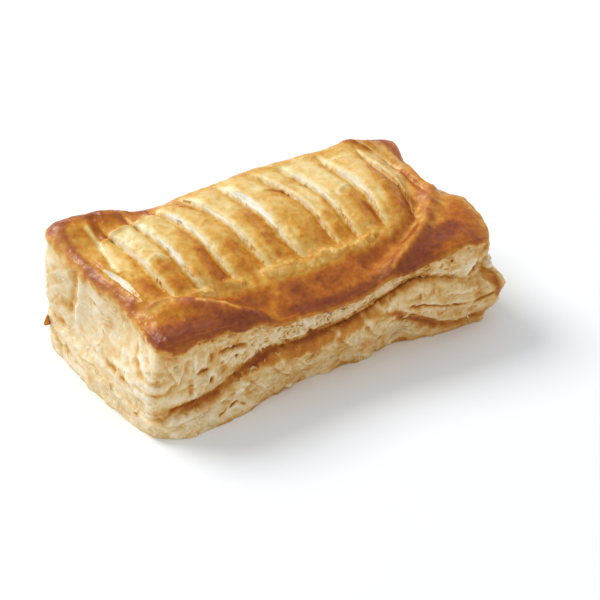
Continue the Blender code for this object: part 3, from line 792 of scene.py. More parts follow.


# relief and browning of the open sides, with painted light and shade in the browning, on the net of
# rings and levels, and where they are washed
def shapeSides(grid, places, boxPlaces, parts):
    net, tones = grid["sideNet"], sideTones
    sides, level = places[net], parts["level"][net]
    ringPlaces = sides[:, len(grid["zs"]) // 2]
    steps = np.linalg.norm(np.diff(ringPlaces[:, :2], axis=0, append=ringPlaces[:1, :2]), axis=1)
    arc, around = np.concatenate([[0], np.cumsum(steps)[:-1]]), float(steps.sum())
    boxX, boxY = boxPlaces[net[:, 0], 0], boxPlaces[net[:, 0], 1]
    sideX, sideY, height = np.moveaxis(sides, -1, 0)
    crustEdge, seam = (height[:, int(np.argmin(np.abs(grid["zs"] - boxLevels[part])))]
                       for part in ("crust", "seam"))
    leafRelief, leafTone, leafEdge, leafShade = layLeaves(
        arc, around, height, crustEdge, seam, np.stack([boxX, boxY], -1))
    print("leaves laid")

    frontward, rearward = ease((-boxY - 30) / 4)[:, None], ease((boxY - 30) / 4)[:, None]
    leftward, rightward = ease((-boxX - 62) / 4)[:, None], ease((boxX - 62) / 4)[:, None]
    rimLevel = boxLevels["crust"] + 1.1 - 1.4 * rightward + parts["wander"][net]
    belowCrust = ease((rimLevel + 2.0 * lumps(sides, 3.0, 61, 3) - level) / 2.6)
    lower = ease((seam[:, None] - height) / 0.8)

    levelled = np.stack([sideX / 4.5, sideY / 4.5, level / 0.62], -1)
    laminae = gradientNoise(levelled, 31) + 0.5 * gradientNoise(levelled * [2, 2, 1.9], 32)
    crumple = creases(sides, 5.0, 33, 2) - 0.35
    fineCrumple = creases(sides * [1, 1, 1.6], 2.0, 36, 2) - 0.35
    # thin sheets pushed into curved folds, most of all on the ends
    warped = height + 5.0 * lumps(sides, 14.0, 81) + 1.6 * lumps(sides, 5.0, 82)
    folded = gradientNoise(np.stack([sideX / 11, sideY / 11, warped / 2.3], -1), 83)
    folds = 0.65 - np.minimum(np.abs(folded) * 2.4, 1)
    calm = 1 - 0.4 * leftward  # the left end is smoother
    relief = calm * (leafRelief + 0.14 * crumple) + 0.04 * laminae + 0.03 * fineCrumple
    relief += (0.3 - 0.1 * leftward + 0.5 * rightward) * folds
    # free edges of the leaves are paler: thin dough, and partly a painted highlight
    browningAndPaintedLight = tones["eachLeaf"] * leafTone + tones["paleLitLeafEdges"] * leafEdge + tones["folds"] * folds
    browningAndPaintedLight += tones["plain"] + tones["front"] * frontward + tones["rear"] * rearward
    browningAndPaintedLight += tones["left"] * leftward + tones["right"] * rightward
    browningAndPaintedLight += (0.04 + 0.07 * frontward) * leafShade + tones["clouds"] * lumps(sides, 9.0, 34, 2)
    browningAndPaintedLight += tones["blotches"] * calm * ease(lumps(sides, 5.0, 35) * 1.5 + 0.05)
    browningAndPaintedLight += 0.03 * frontward * ease((sideX - 30) / 22)
    specks = ease(lumps(sides * [1, 1, 1.5], 1.9, 37, 2) * 2.2 - 0.4)
    browningAndPaintedLight += (0.03 + 0.06 * frontward) * specks + tones["layers"] * laminae

    laceAmount = frontward * through(lace["front"], sideX) + rearward * through(lace["rear"], sideX)
    laceAmount = laceAmount * ease((crustEdge[:, None] - height) / 0.8)
    laceAmount = laceAmount * ease((height - seam[:, None] - 0.6) / 0.7)
    bentArc = arc[:, None] + 0.9 * lumps(sides, 2.6, 41) + 0.35 * lumps(sides, 1.0, 47)
    bentHeight = height + 0.7 * lumps(sides, 2.4, 46) + 0.3 * lumps(sides, 1.0, 48)
    first, second, chance = cells(bentArc, bentHeight, lace["cell"], 42)
    holes = ease((second - first) / 0.42 - 0.10)
    deep = laceAmount * ease(0.9 * lumps(sides, 5.0, 45) + 0.40 + 0.7 * (chance - 0.4))
    relief = relief * (1 - 0.4 * laceAmount)
    relief -= lace["depth"] * holes * deep + lace["recess"] * laceAmount
    # the holes are painted browner: painted shade in them
    browningAndPaintedLight += tones["holes"] * holes * deep - 0.02 * laceAmount

    # places browned like the crust
    underSeam = seam[:, None] - height
    wander = 1.1 * lumps(sides, 3.2, 38, 2) + 0.5 * lumps(sides, 1.1, 39)
    patch, patchBake = np.zeros_like(height), np.zeros_like(height)
    for on, u in ((frontward, sideX), (0.8 * rearward, -sideX)):
        for path, halfWidth, tone in toastedPatches:
            amount = on * ease((halfWidth - nearPath(u, height, path)[0] + wander) / 2.6 + 0.45)
            patchBake = np.where(amount > patch, tone, patchBake)
            patch = np.maximum(patch, amount)

    # marks, with the rear side and the right end taking them mirrored
    ragged = 0.8 * lumps(sides, 2.6, 57, 2)
    wobble, wobbleUp = 0.7 * lumps(sides, 2.2, 59, 2), 0.6 * lumps(sides, 2.2, 60, 2)
    for marks, on, u in ((frontMarks, frontward, sideX), (leftMarks, leftward, sideY),
                         (frontMarks, 0.8 * rearward, -sideX), (leftMarks, rightward, -sideY)):
        for path, halfWidth, rise, change, isSheet in marks:
            gap, share, side = nearPath(u + wobble, height + wobbleUp, path)
            fade = on * fadeEnds(share, 5, 0.15)
            shape = bell(gap / halfWidth)
            if isSheet:
                # the sheet's edge is painted paler, as a painted highlight, and what lies beside it is
                # painted darker, as its shade
                over = side > 0
                browningAndPaintedLight += fade * np.where(over, -0.04 * bell((gap - 0.3) / 0.4), 0.07 * shape)
                furrow = -0.25 * bell(gap / (halfWidth * 0.6))
                shape = np.where(over, ease(1 - gap / (halfWidth * 3)), furrow)
            relief += calm * fade * rise * shape
            soft = np.maximum(gap + ragged * min(halfWidth, 1.2), 0) if halfWidth > 1.1 else gap
            # the change of browning here is painted shade where it darkens a furrow or crack
            browningAndPaintedLight += fade * change * bell(soft / (halfWidth * 1.2))

    # browning: a toasted border under the crust, a line along the seam, and the rim of the base
    toCrust = (boxLevels["crust"] - level) / (boxLevels["crust"] - boxLevels["seam"])
    toCrust = toCrust * (crustEdge - seam)[:, None]
    border = tones["underCrust"] * (1 - 0.6 * leftward) * (1 - 0.7 * laceAmount)
    border = border * (1 - 0.7 * frontward * ease((sideX - 36) / 10))
    browningAndPaintedLight += border * bell(np.maximum(toCrust + 0.9 * ragged, 0) / 2.6)
    strength = frontward * through(tones["frontSeam"], sideX) + 0.6 * rearward
    strength += 0.15 * np.maximum(leftward, rightward)
    browningAndPaintedLight += tones["seam"] * strength * bell((underSeam + 0.35 + 0.3 * ragged) / 0.8)
    browningAndPaintedLight += tones["underSeam"] * strength * ease(1 - (underSeam + 1.5 * ragged) / 3.0) * lower
    # the base's rim is browned, less at the left end: that paler tone is painted light against the shade
    # at the floor
    baseRim = ease(1 - height / (2.2 + 1.2 * lumps(sides, 8.0, 53)))
    browningAndPaintedLight += (tones["baseRim"] - 0.12 * leftward) * baseRim * ease(lumps(sides, 11.0, 54) + 0.75)
    # the front's lower layer is darker than the upper one, except near the left end
    browningAndPaintedLight += (0.06 * lower + (0.04 - 0.12 * lower) * ease((-30 - sideX) / 14)) * frontward

    # the toasted places are browner towards the seam
    patchBake += 0.10 * lumps(sides, 1.6, 40, 2) + 0.16 * (ease(1 - underSeam / 4.5) - 0.5)
    browningAndPaintedLight = browningAndPaintedLight * (1 - patch) + patch * patchBake
    relief = relief * (1 - 0.6 * patch)

    # the crust's own rim, thickest along the middle of the front
    rimSize = 0.25 + 0.55 * frontward * bell((sideX - 2) / 26)
    rim = rimSize * bell((height - crustEdge[:, None] - 0.9) / 1.2)
    relief = relief * belowCrust + rim + (1 - belowCrust) * 0.10 * lumps(sides, 1.8, 55, 2)
    # bulges that widen the lowest part here and there
    bulges = lumps(sides * [1, 1, 0], 6.5, 58, 2)
    relief += 1.5 * calm * bulges * ease(1 - height / 11)
    # softened, as thin leaves sag onto each other
    for _ in range(2):
        padded = np.pad(relief, ((0, 0), (1, 1)), mode="edge")
        beside = np.roll(relief, 1, 0) + np.roll(relief, -1, 0) + padded[:, 2:] + padded[:, :-2]
        relief = 0.5 * relief + 0.125 * beside
    relief = np.maximum(relief, -0.15 - 2 * ease((height - 0.4) / 3))
    return relief, browningAndPaintedLight, np.maximum(1 - belowCrust, 0.9 * patch)


# How far the crust is browned, from 0 to 1, and what changes that, painted light and shade among it
crustTones = {
    "plain": 0.34,
    # paler towards the rear, partly a painted sheen of the light behind
    "rear": -0.05,
    "front": 0.06,
    "ends": 0.12,
    "frontSlope": 0.22,
    # each strip's right side is browner, as painted shade, and its left edge paler, partly a painted
    # highlight
    "shadedStripRight": 0.10,
    "paleLitStripLeft": -0.16,
    "lower": -0.06,
    "darkest": 0.92,
}


# relief and browning of the crust, with painted light and shade in the browning, for every point, how
# far each one faces up and is unbroken crust
def shapeCrust(grid, places, parts, boxPlaces):
    x, y = places[:, 0], places[:, 1]
    net, tones = grid["topNet"], crustTones
    level, across = parts["level"], parts["across"]
    upward = ease((level - boxLevels["crust"] + 0.5) / 1.5)
    inSlit = parts["inSlit"]
    for path, halfWidth in gaps:
        inside = ease((halfWidth - nearPath(x, y, path)[0]) / 0.4 + 0.3 * lumps(places, 1.5, 77))
        inSlit = np.maximum(inSlit, upward * inside)
    skin = 1 - inSlit
    frontSlope = ease((-y - 19.5) / 4)
    f = blisters
    rng = np.random.default_rng(f["seed"])
    centres = np.stack([rng.uniform(*ends, f["count"]) for ends in f["spread"]], -1)
    radii = f["radius"][0] + np.ptp(f["radius"]) * rng.random(f["count"]) ** 2.5
    heights = rng.uniform(*f["height"], f["count"])
    bumps = np.zeros(len(places))
    bumps[net] = addBumps(net, x[net], y[net], centres, radii, heights)

    band = np.zeros(len(places))
    wavy = 0.8 * lumps(places, 3.0, 67) + 0.3 * lumps(places, 1.2, 68)
    for path, halfWidth in frill:
        gap = nearPath(x, y, path)[0]
        band = np.maximum(band, ease((halfWidth - gap + wavy) / 1.6))
    band *= upward
    f = frillBubbles
    rng = np.random.default_rng(f["seed"])
    spots, sizes = [], []
    for path, halfWidth in frill:
        for (ax, ay), (bx, by) in zip(path[:-1], path[1:]):
            for u in np.arange(0, 1, f["spacing"] / math.hypot(bx - ax, by - ay)):
                aside = f["spread"] * halfWidth / 2 * rng.uniform(-1, 1)
                spots.append((ax + (bx - ax) * u, ay + (by - ay) * u + aside))
                sizes.append(rng.uniform(*f["radius"]) * (0.5 + halfWidth / 4))
    foam = np.zeros(len(places))
    foam[net] = addBumps(net, x[net], y[net], spots, sizes, rng.uniform(*f["height"], len(spots)))
    domes = ease(foam / 0.75)
    streaks = gradientNoise(np.stack([x / 1.2, y / 8.0, places[:, 2] / 8.0], -1), 61)
    push = 0.46 * lumps(places, 7.0, 62, 2) + 0.20 * lumps(places, 2.6, 63, 2)
    push += 0.06 * lumps(places, 1.1, 78) - 0.16 * creases(places, 5.0, 64, 2)
    push += bumps + 0.03 * streaks * frontSlope
    push += foam + 0.4 * band + 0.3 * band * lumps(places, 1.3, 73, 2)
    push *= upward * skin
    band = np.maximum(0.5 * band, domes * upward)

    # inside the slits: fine layers along them, crumbs and small holes towards their front ends
    layers = gradientNoise(np.stack([boxPlaces[:, 0] / 0.5, y / 9.0, 0 * y], -1), 65)
    crumbs = lumps(places, 1.1, 66)
    frontEnd = ease((0.55 - parts["share"]) / 0.35)
    push += inSlit * (0.18 * layers + (0.08 + 0.14 * frontEnd) * crumbs)

    # the crust is paler towards the rear, partly as a painted sheen of the light from behind
    browningAndPaintedLight = tones["plain"] + tones["rear"] * ease((y - 4) / 14) + tones["front"] * ease(-y / 10)
    browningAndPaintedLight += tones["ends"] * ease((np.abs(x + 2) - 53) / 8) + tones["frontSlope"] * frontSlope
    soften = 1.3 * lumps(places, 3.4, 75, 2) + 0.4 * lumps(places, 1.4, 80)
    intoBasin = ease((y - through(basin["edge"], x)) / 1.2) * ease((x + 59) / 3) * ease((-30 - x) / 5)
    browningAndPaintedLight += intoBasin * (basin["tone"] - browningAndPaintedLight)
    for path, halfWidth, tone in crustPatches:
        gap = nearPath(x, y, path)[0] + soften * min(halfWidth / 3, 1)
        browningAndPaintedLight += 0.9 * (tone - browningAndPaintedLight) * bell(np.maximum(gap - 0.3 * halfWidth, 0) / (0.75 * halfWidth))
    browningAndPaintedLight += ease((y - 22) / 8) * (0.08 + 0.14 * lumps(places, 5.0, 83, 2))
    browningAndPaintedLight += 0.09 * lumps(places, 7.0, 71, 2) + 0.085 * lumps(places, 3.0, 72, 2)
    browningAndPaintedLight += 0.025 * lumps(places, 1.2, 79, 2)
    for path, halfWidth, rise in crustLines:
        gap, share, _ = nearPath(x, y, path)
        push += upward * rise * fadeEnds(share, 6, 0.1) * bell(gap / halfWidth)
    inStrips = ease((y + 17) / 4) * ease((30 - y) / 8) * ease((57 - np.abs(x + 1)) / 4)
    # each strip's right side is browner, as painted shade, and its left edge paler, partly a painted
    # highlight
    browningAndPaintedLight += inStrips * tones["shadedStripRight"] * ease((across - 0.6) / 0.35)
    browningAndPaintedLight += inStrips * tones["paleLitStripLeft"] * ease((0.22 - across) / 0.16)
    browningAndPaintedLight += 0.025 * streaks * frontSlope + 0.01 * ease(bumps / 0.2)
    # the darkest places level off
    room = tones["darkest"] - 0.6
    browningAndPaintedLight = np.where(browningAndPaintedLight < 0.6, browningAndPaintedLight, 0.6 + room * np.tanh((browningAndPaintedLight - 0.6) / room))
    # the bubbles' tops are paler and the gaps between them browner, partly their own tone and partly
    # painted light and shade
    browningAndPaintedLight = browningAndPaintedLight * (1 - band) + band * (0.58 - 0.25 * domes + 0.16 * lumps(places, 1.5, 76, 2))
    browningAndPaintedLight += tones["lower"] * bell((level - boxLevels["crust"] - 0.6) / 0.8)
    # towards their narrow front ends the slits are browner inside: toasted crumbs, and painted shade
    inside = parts["toast"] + 0.10 * ease(layers * 1.5 - 0.2)
    inside = inside + frontEnd * (0.20 + 0.36 * ease(-crumbs * 2.2 - 0.1))
    return push, browningAndPaintedLight * skin + inside * inSlit, upward, skin


baseTone = 0.35  # browning of the underside


# the whole surface of the roll: its grid, places and outward directions, and the values that its
# material reads
def makeSkin():
    grid = boxGrid()
    boxPlaces, quads, net = grid["places"], grid["quads"], grid["sideNet"]
    places, parts = bakedForm(*boxPlaces.T)
    onBase = boxPlaces[:, 2] < 1e-9
    places[onBase, 2] = 0.0
    normals = normalsOf(places, quads)
    print("roll form", len(places), "points")

    push, browningAndPaintedLight, wash, unwashed = (np.zeros(len(places)) for _ in range(4))
    push[net], browningAndPaintedLight[net], wash[net] = shapeSides(grid, places, boxPlaces, parts)
    unwashed[net] = 1 - wash[net]
    crustPush, crustBrowningAndPaintedLight, upward, skin = shapeCrust(grid, places, parts, boxPlaces)
    push += crustPush
    wash = np.maximum(wash, upward * (1 - unwashed)) * skin
    crust = np.maximum(wash, 1 - skin)
    browningAndPaintedLight = browningAndPaintedLight * (1 - crust) + crustBrowningAndPaintedLight * crust
    fromGroove = nearPath(*places[:, :2].T, dullGroove["path"])[0]
    wash *= 1 - dullGroove["loss"] * bell(fromGroove / dullGroove["halfWidth"])
    gloss = np.zeros(len(places))
    for path, halfWidth in glossyRidges:
        gloss = np.maximum(gloss, bell(nearPath(*places[:, :2].T, path)[0] / halfWidth))
    gloss *= wash * (0.75 + 0.25 * lumps(places, 1.5, 84, 2))

    # the base's rim follows the relief just above it, in plan only
    rim = net[:, 0]
    browningAndPaintedLight[onBase] = baseTone
    # the base's rim is painted paler than the side just above it: painted light against the shade where
    # it meets the floor
    browningAndPaintedLight[rim] = 0.7 * browningAndPaintedLight[net[:, 2]]
    push[onBase] = 0
    outward = normals[net[:, 1]] * [1, 1, 0]
    outward /= np.linalg.norm(outward, axis=1, keepdims=True)
    places = places + normals * push[:, None]
    places[rim] += outward * np.maximum(push[net[:, 2]] - 0.2, 0)[:, None]
    places[:, 2] = np.maximum(places[:, 2], 0)
    # the base is flat, and its lines run straight from the front rim to the rear rim
    base, shares = grid["baseNet"], grid["baseShares"][None, 1:-1, None]
    places[base[:, 1:-1]] = places[base[:, :1]] * (1 - shares) + places[base[:, -1:]] * shares
    normals = normalsOf(places, quads)
    # on the crust what stands out is browner, and on the sides what lies in a hollow is painted darker
    # and what stands out paler: painted shade and painted highlight
    fine = standingOut(places, quads, normals, 3)
    broad = standingOut(places, quads, normals, 24)
    browningAndPaintedLight += crust * skin * np.clip(0.12 * fine + 0.10 * broad, -0.08, 0.10)
    browningAndPaintedLight += (1 - crust) * np.clip(-0.22 * fine - 0.09 * broad, -0.06, 0.14)
    print("relief shaped")
    places[:, 0] += rollForm["centreShift"]
    return grid, places, normals, {"browningAndPaintedLight": np.clip(browningAndPaintedLight, 0, 1), "wash": wash, "gloss": gloss}


def buildMesh(name, places, faces, values):
    mesh = bpy.data.meshes.new(name)
    mesh.from_pydata((places * mm).tolist(), [], faces)
    mesh.update()
    mesh.shade_smooth()
    for key, value in values.items():
        mesh.attributes.new(key, "FLOAT", "POINT").data.foreach_set("value", value.astype(np.float32))
    piece = bpy.data.objects.new(name, mesh)
    bpy.context.scene.collection.objects.link(piece)
    return piece


# Flat layout of the skin, a square sheet with the top and the base side by side and the four sides above
# them. Its name says that it is kept when the material is baked.
flatLayout = {"sheet": 292.0, "margin": 2, "secondColumn": 148, "rows": (77, 127), "sideStretch": 1.1}


def layFlat(piece, grid):
    f, lay = rollForm, flatLayout
    nx, ny, nz = len(grid["xs"]), len(grid["ys"]), len(grid["zs"])
    half = [f["halfLength"], f["halfWidth"]]
    box = grid["places"][grid["quads"]]
    uv = np.zeros((len(box), 4, 2))
    sides = grid["sideFaces"]
    ringFace = np.arange(sides) // (nz - 1)
    starts = [0, nx - 1, nx + ny - 2, 2 * nx + ny - 3, 2 * (nx + ny - 2)]
    spots = [(column, row) for column in (lay["margin"], lay["secondColumn"]) for row in lay["rows"]]
    for n in range(4):
        on = (ringFace >= starts[n]) & (ringFace < starts[n + 1])
        side = box[:sides][on]
        along = side[..., n % 2] + half[n % 2]
        uv[:sides][on] = np.stack([along, side[..., 2] * lay["sideStretch"]], -1) + spots[n]
    uv[sides:] = box[sides:][..., :2] + half + [lay["margin"]] * 2
    under = np.concatenate([np.array(face) for face in grid["under"]])
    underUv = grid["places"][under][:, :2] * [-1, 1] + half + [lay["secondColumn"], lay["margin"]]
    flat = np.concatenate([uv.reshape(-1, 2), underUv]) / lay["sheet"]
    piece.data.uv_layers.new(name="OFBake").data.foreach_set("uv", flat.astype(np.float32).ravel())


# Loose flakes that stand off the sides: thin curled scraps with one edge still held
looseFlakes = {
    "count": 520,
    "length": (0.9, 3.4),
    "width": (0.6, 1.9),
    "lift": (12, 55),  # degrees between the flake and the side
    "curl": (-0.8, 1.4),  # radians, outwards where above 0
    "thickness": 0.12,
    "lowest": 1.2,
    "facets": (5, 4),  # along the side and away from it
    # one large flake at the left end: place, length, width, lift, how far browned
    "large": [((-72, 33, 10), 4.2, 4.6, 60, 0.56)],
    "largeCurl": -0.3,
    "seed": 77,
}


# each flake is a curved sheet of facets with a thickness, held by one edge at a point of the side
def makeFlakes(grid, places, normals, values):
    f = looseFlakes
    rng = np.random.default_rng(f["seed"])
    net = grid["sideNet"]
    highest = int(np.argmin(np.abs(grid["zs"] - boxLevels["crust"] + 0.8)))
    points, faces, bakes = [], [], []
    columns, rows = f["facets"]
    for n in range(f["count"]):
        k, l = int(rng.integers(len(net))), int(rng.integers(3, highest))
        isLarge = n < len(f["large"])
        if isLarge:
            spot = f["large"][n][0]
            k, l = np.unravel_index(np.argmin(np.linalg.norm(places[net] - spot, axis=-1)), net.shape)
        root = places[net[k, l]]
        if root[2] < f["lowest"]:
            continue
        out = normals[net[k, l]]
        along = places[net[(k + 3) % len(net), l]] - places[net[k - 3, l]]
        along /= np.linalg.norm(along)
        down = np.cross(along, out)
        down *= -np.sign(down[2]) if abs(down[2]) > 1e-3 else 1
        turn = rng.normal(0, 0.5)
        turned = math.cos(turn) * along + math.sin(turn) * down
        along, down = turned, math.cos(turn) * down - math.sin(turn) * along
        if rng.random() < 0.25 or isLarge:
            down = -down
        if isLarge:
            along, down = down, along
        size = rng.random() ** 2
        length = f["length"][0] + (f["length"][1] - f["length"][0]) * size
        width = f["width"][0] + (f["width"][1] - f["width"][0]) * size * rng.uniform(0.6, 1.2)
        lift, curl = rng.uniform(*f["lift"]), rng.uniform(*f["curl"])
        tone = values["browningAndPaintedLight"][net[k, l]] * 0.6 + rng.uniform(0.0, 0.12)
        if isLarge:
            _, length, width, lift, tone = f["large"][n]
            curl = f["largeCurl"]
        start = len(points)
        jag = rng.uniform(0.7, 1.15, columns + 1)
        for i in range(columns + 1):
            u = i / columns * 2 - 1
            reach = width * jag[i] * math.sqrt(max(1 - 0.75 * u * u, 0))
            for j in range(rows + 1):
                v = j / rows
                angle = math.radians(lift) * (0.4 + 0.6 * v) + curl * v * v
                step = reach * v
                cup = 0.15 * length * (u * u) * rng.uniform(-0.1, 0.3)
                place = root + along * (u * length / 2 * (1 - 0.25 * v))
                place += down * step * math.cos(angle * 0.8)
                points.append(place + out * (step * math.sin(angle * 0.8) - 0.15 + cup))
        inner = (columns + 1) * (rows + 1)
        points += [point - out * f["thickness"] for point in points[start:]]
        for i in range(columns):
            for j in range(rows):
                a = start + i * (rows + 1) + j
                quad = [a, a + 1, a + rows + 2, a + rows + 1]
                faces += [quad, [corner + inner for corner in quad[::-1]]]
        # walls between the two sides of the flake, all the way round its edge
        edge = [start + j for j in range(rows + 1)]
        edge += [start + i * (rows + 1) + rows for i in range(1, columns + 1)]
        edge += [start + columns * (rows + 1) + j for j in range(rows - 1, -1, -1)]
        edge += [start + i * (rows + 1) for i in range(columns - 1, 0, -1)]
        for a, b in zip(edge, edge[1:] + edge[:1]):
            faces.append([b, a, a + inner, b + inner])
        bakes += [tone] * (2 * inner)
    points, bakes = np.array(points), np.array(bakes)
    points[:, 2] = np.maximum(points[:, 2], 0.05)
    return points, faces, {"browningAndPaintedLight": bakes, "wash": bakes * 0}


# colour of a hex code in the linear numbers that the shaders take
def hexColour(code):
    parts = [int(code[i:i + 2], 16) / 255 for i in (1, 3, 5)]
    return [p / 12.92 if p <= 0.04045 else ((p + 0.055) / 1.055) ** 2.4 for p in parts] + [1.0]


# adds a node with its settings, and links or values for its inputs
def addNode(tree, kind, settings=None, inputs=None):
    node = tree.nodes.new(kind)
    for key, value in (settings or {}).items():
        setattr(node, key, value)
    for key, value in (inputs or {}).items():
        socket = node.inputs[key]
        if isinstance(value, bpy.types.NodeSocket):
            tree.links.new(value, socket)
        else:
            socket.default_value = value
    return node


# Colours of puff pastry as it browns: under the egg wash it goes from straw to gold, amber and
# red-brown, and its dry layers go from cream to tan and toast
washedColours = [
    (0.00, "#F6EED6"),
    (0.12, "#EFDCAA"),
    (0.25, "#E6C57C"),
    (0.38, "#DAA344"),
    (0.50, "#C77F17"),
    (0.62, "#B05E09"),
    (0.74, "#95490D"),
    (0.86, "#7A3313"),
    (1.00, "#5C2410"),
]
dryColours = [
    (0.00, "#F8F2E3"),
    (0.12, "#F2E3C6"),
    (0.26, "#E5C997"),
    (0.40, "#D7AB68"),
    (0.54, "#C5873E"),
    (0.68, "#A66223"),
    (0.82, "#80471A"),
    (1.00, "#55300F"),
]

# Puff pastry, folded with butter, washed with egg and baked. The wash gives a thin, broken gloss, with
# a broad pale shine on the border's ridges. Unwashed layers are dry and chalky, and all of it lets a
# little light in. It is mottled every 1.8 mm. Its grain of 0.6 mm and its tiny bubbles of 0.9 mm are
# coarser than real flour and pinholes, which are too fine to show.
pastryLook = {
    "washedRoughness": 0.31,
    "dryRoughness": 0.80,
    "ior": 1.45,
    "washedSpecular": 0.36,
    "drySpecular": 0.14,
    "ridgeSpecular": 0.64,  # this and the next are added on the glossy ridges
    "ridgeRoughness": 0.12,
    "brokenGloss": (-0.06, 0.14),  # what the mottling adds to the roughness
    "mottleSize": 1.8,
    "mottle": 0.04,  # how much browner or paler
    "grainSize": 0.6,
    "grain": 0.022,
    "bubbleSize": 0.9,
    "bubbleHeight": 0.10,
    "bumpHeight": 0.8,
    "bumpStrength": 0.7,
    "subsurface": 0.22,
    "subsurfaceDepth": 1.3,
    "subsurfaceSpread": (1.0, 0.55, 0.30),  # red light goes deepest
}


# the material reads how far each point is browned, with painted light and shade mixed in, washed and
# shiny from the mesh's own values
def pastryMaterial(name, look, evenShine=None):
    material = bpy.data.materials.new(name)
    material.use_nodes = True
    tree = material.node_tree
    tree.nodes.clear()
    coords = addNode(tree, "ShaderNodeTexCoord")
    browningAndPaintedLight, wash, gloss = (addNode(tree, "ShaderNodeAttribute", {"attribute_name": kept})
                         for kept in ("browningAndPaintedLight", "wash", "gloss"))
    mottle, grain = (addNode(tree, "ShaderNodeTexNoise", None, {
        "Vector": coords.outputs["Object"], "Scale": 1 / (look[size] * mm),
        "Detail": detail, "Roughness": roughness})
        for size, detail, roughness in (("mottleSize", 4.0, 0.6), ("grainSize", 3.0, 0.7)))
    mottled = addNode(tree, "ShaderNodeMapRange", None, {
        "Value": mottle.outputs["Fac"], "From Min": 0.32, "From Max": 0.68,
        "To Min": -look["mottle"], "To Max": look["mottle"]})
    grained = addNode(tree, "ShaderNodeMapRange", None, {
        "Value": grain.outputs["Fac"], "From Min": 0.3, "From Max": 0.7,
        "To Min": -look["grain"], "To Max": look["grain"]})
    # browning varies less on the palest layers
    spread = addNode(tree, "ShaderNodeMapRange", None, {
        "Value": browningAndPaintedLight.outputs["Fac"], "From Max": 0.4, "To Min": 0.35})
    both = addNode(tree, "ShaderNodeMath", {"operation": "ADD"}, {
        0: mottled.outputs["Result"], 1: grained.outputs["Result"]})
    browning = addNode(tree, "ShaderNodeMath", {"operation": "MULTIPLY_ADD"}, {
        0: both.outputs["Value"], 1: spread.outputs["Result"], 2: browningAndPaintedLight.outputs["Fac"]})
    ramps = []
    for colours in (dryColours, washedColours):
        ramp = addNode(tree, "ShaderNodeValToRGB", None, {"Fac": browning.outputs["Value"]})
        stops = ramp.color_ramp.elements
        for n, (at, code) in enumerate(colours):
            stop = stops[n] if n < 2 else stops.new(at)
            stop.position = at
            stop.color = hexColour(code)
        ramps.append(ramp)
    # inputs 6 and 7 and output 2 are the Mix node's colours
    colour = addNode(tree, "ShaderNodeMix", {"data_type": "RGBA"}, {
        "Factor": wash.outputs["Fac"], 6: ramps[0].outputs["Color"], 7: ramps[1].outputs["Color"]})
    plainRoughness, plainShine = (addNode(tree, "ShaderNodeMapRange", None, {
        "Value": wash.outputs["Fac"], "To Min": look["dry" + part], "To Max": look["washed" + part]})
        for part in ("Roughness", "Specular"))
    broken = addNode(tree, "ShaderNodeMapRange", None, {
        "Value": mottle.outputs["Fac"], "From Min": 0.3, "From Max": 0.7,
        "To Min": look["brokenGloss"][0], "To Max": look["brokenGloss"][1]})
    rough = addNode(tree, "ShaderNodeMath", {"operation": "ADD"}, {
        0: plainRoughness.outputs["Result"], 1: broken.outputs["Result"]})
    # the ridges' shine is stronger and more blurred
    shine, blurred = (addNode(tree, "ShaderNodeMath", {"operation": "MULTIPLY_ADD"}, {
        0: gloss.outputs["Fac"], 1: look["ridge" + part], 2: plain.outputs[0]})
        for part, plain in (("Specular", plainShine), ("Roughness", rough)))
    # tiny bubbles in the crust, and grain everywhere
    bubbles = addNode(tree, "ShaderNodeTexVoronoi", {"feature": "SMOOTH_F1"}, {
        "Vector": coords.outputs["Object"], "Scale": 1 / (look["bubbleSize"] * mm), "Smoothness": 0.6})
    domes = addNode(tree, "ShaderNodeMapRange", None, {
        "Value": bubbles.outputs["Distance"], "From Max": 0.7,
        "To Min": look["bubbleHeight"], "To Max": 0.0})
    washedDomes = addNode(tree, "ShaderNodeMath", {"operation": "MULTIPLY"}, {
        0: domes.outputs["Result"], 1: wash.outputs["Fac"]})
    height = addNode(tree, "ShaderNodeMath", {"operation": "ADD"}, {
        0: both.outputs["Value"], 1: washedDomes.outputs["Value"]})
    bump = addNode(tree, "ShaderNodeBump", None, {
        "Height": height.outputs["Value"], "Strength": look["bumpStrength"],
        "Distance": look["bumpHeight"] * mm})
    shader = addNode(tree, "ShaderNodeBsdfPrincipled", None, {
        "Base Color": colour.outputs[2], "Roughness": blurred.outputs["Value"], "IOR": look["ior"],
        "Specular IOR Level": shine.outputs["Value"] if evenShine is None else evenShine,
        "Normal": bump.outputs["Normal"],
        "Subsurface Weight": look["subsurface"], "Subsurface Radius": look["subsurfaceSpread"],
        "Subsurface Scale": look["subsurfaceDepth"] * mm})
    addNode(tree, "ShaderNodeOutputMaterial", None, {"Surface": shader.outputs["BSDF"]})
    return material


# Card, pressed from white pulp and left uncoated: it is evenly matt, and nothing shines in it
cardLook = {"colour": "#F2F2F2", "roughness": 0.9}


def cardMaterial(name, look):
    material = bpy.data.materials.new(name)
    material.use_nodes = True
    shader = material.node_tree.nodes["Principled BSDF"]
    shader.inputs["Base Color"].default_value = hexColour(look["colour"])
    shader.inputs["Roughness"].default_value = look["roughness"]
    return material


grid, skinPlaces, skinNormals, skinValues = makeSkin()
skinFaces = grid["quads"].tolist() + grid["under"]
skin = buildMesh("pastry_skin", skinPlaces, skinFaces, skinValues)
skin.data.polygons.foreach_set("use_smooth", [True] * len(grid["quads"]) + [False] * len(grid["under"]))
layFlat(skin, grid)
skin.data.materials.append(pastryMaterial("bakedPuffPastry", pastryLook))
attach(skin, "root")
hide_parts("pastry_roll")
print("skin", len(skin.data.polygons), "faces")

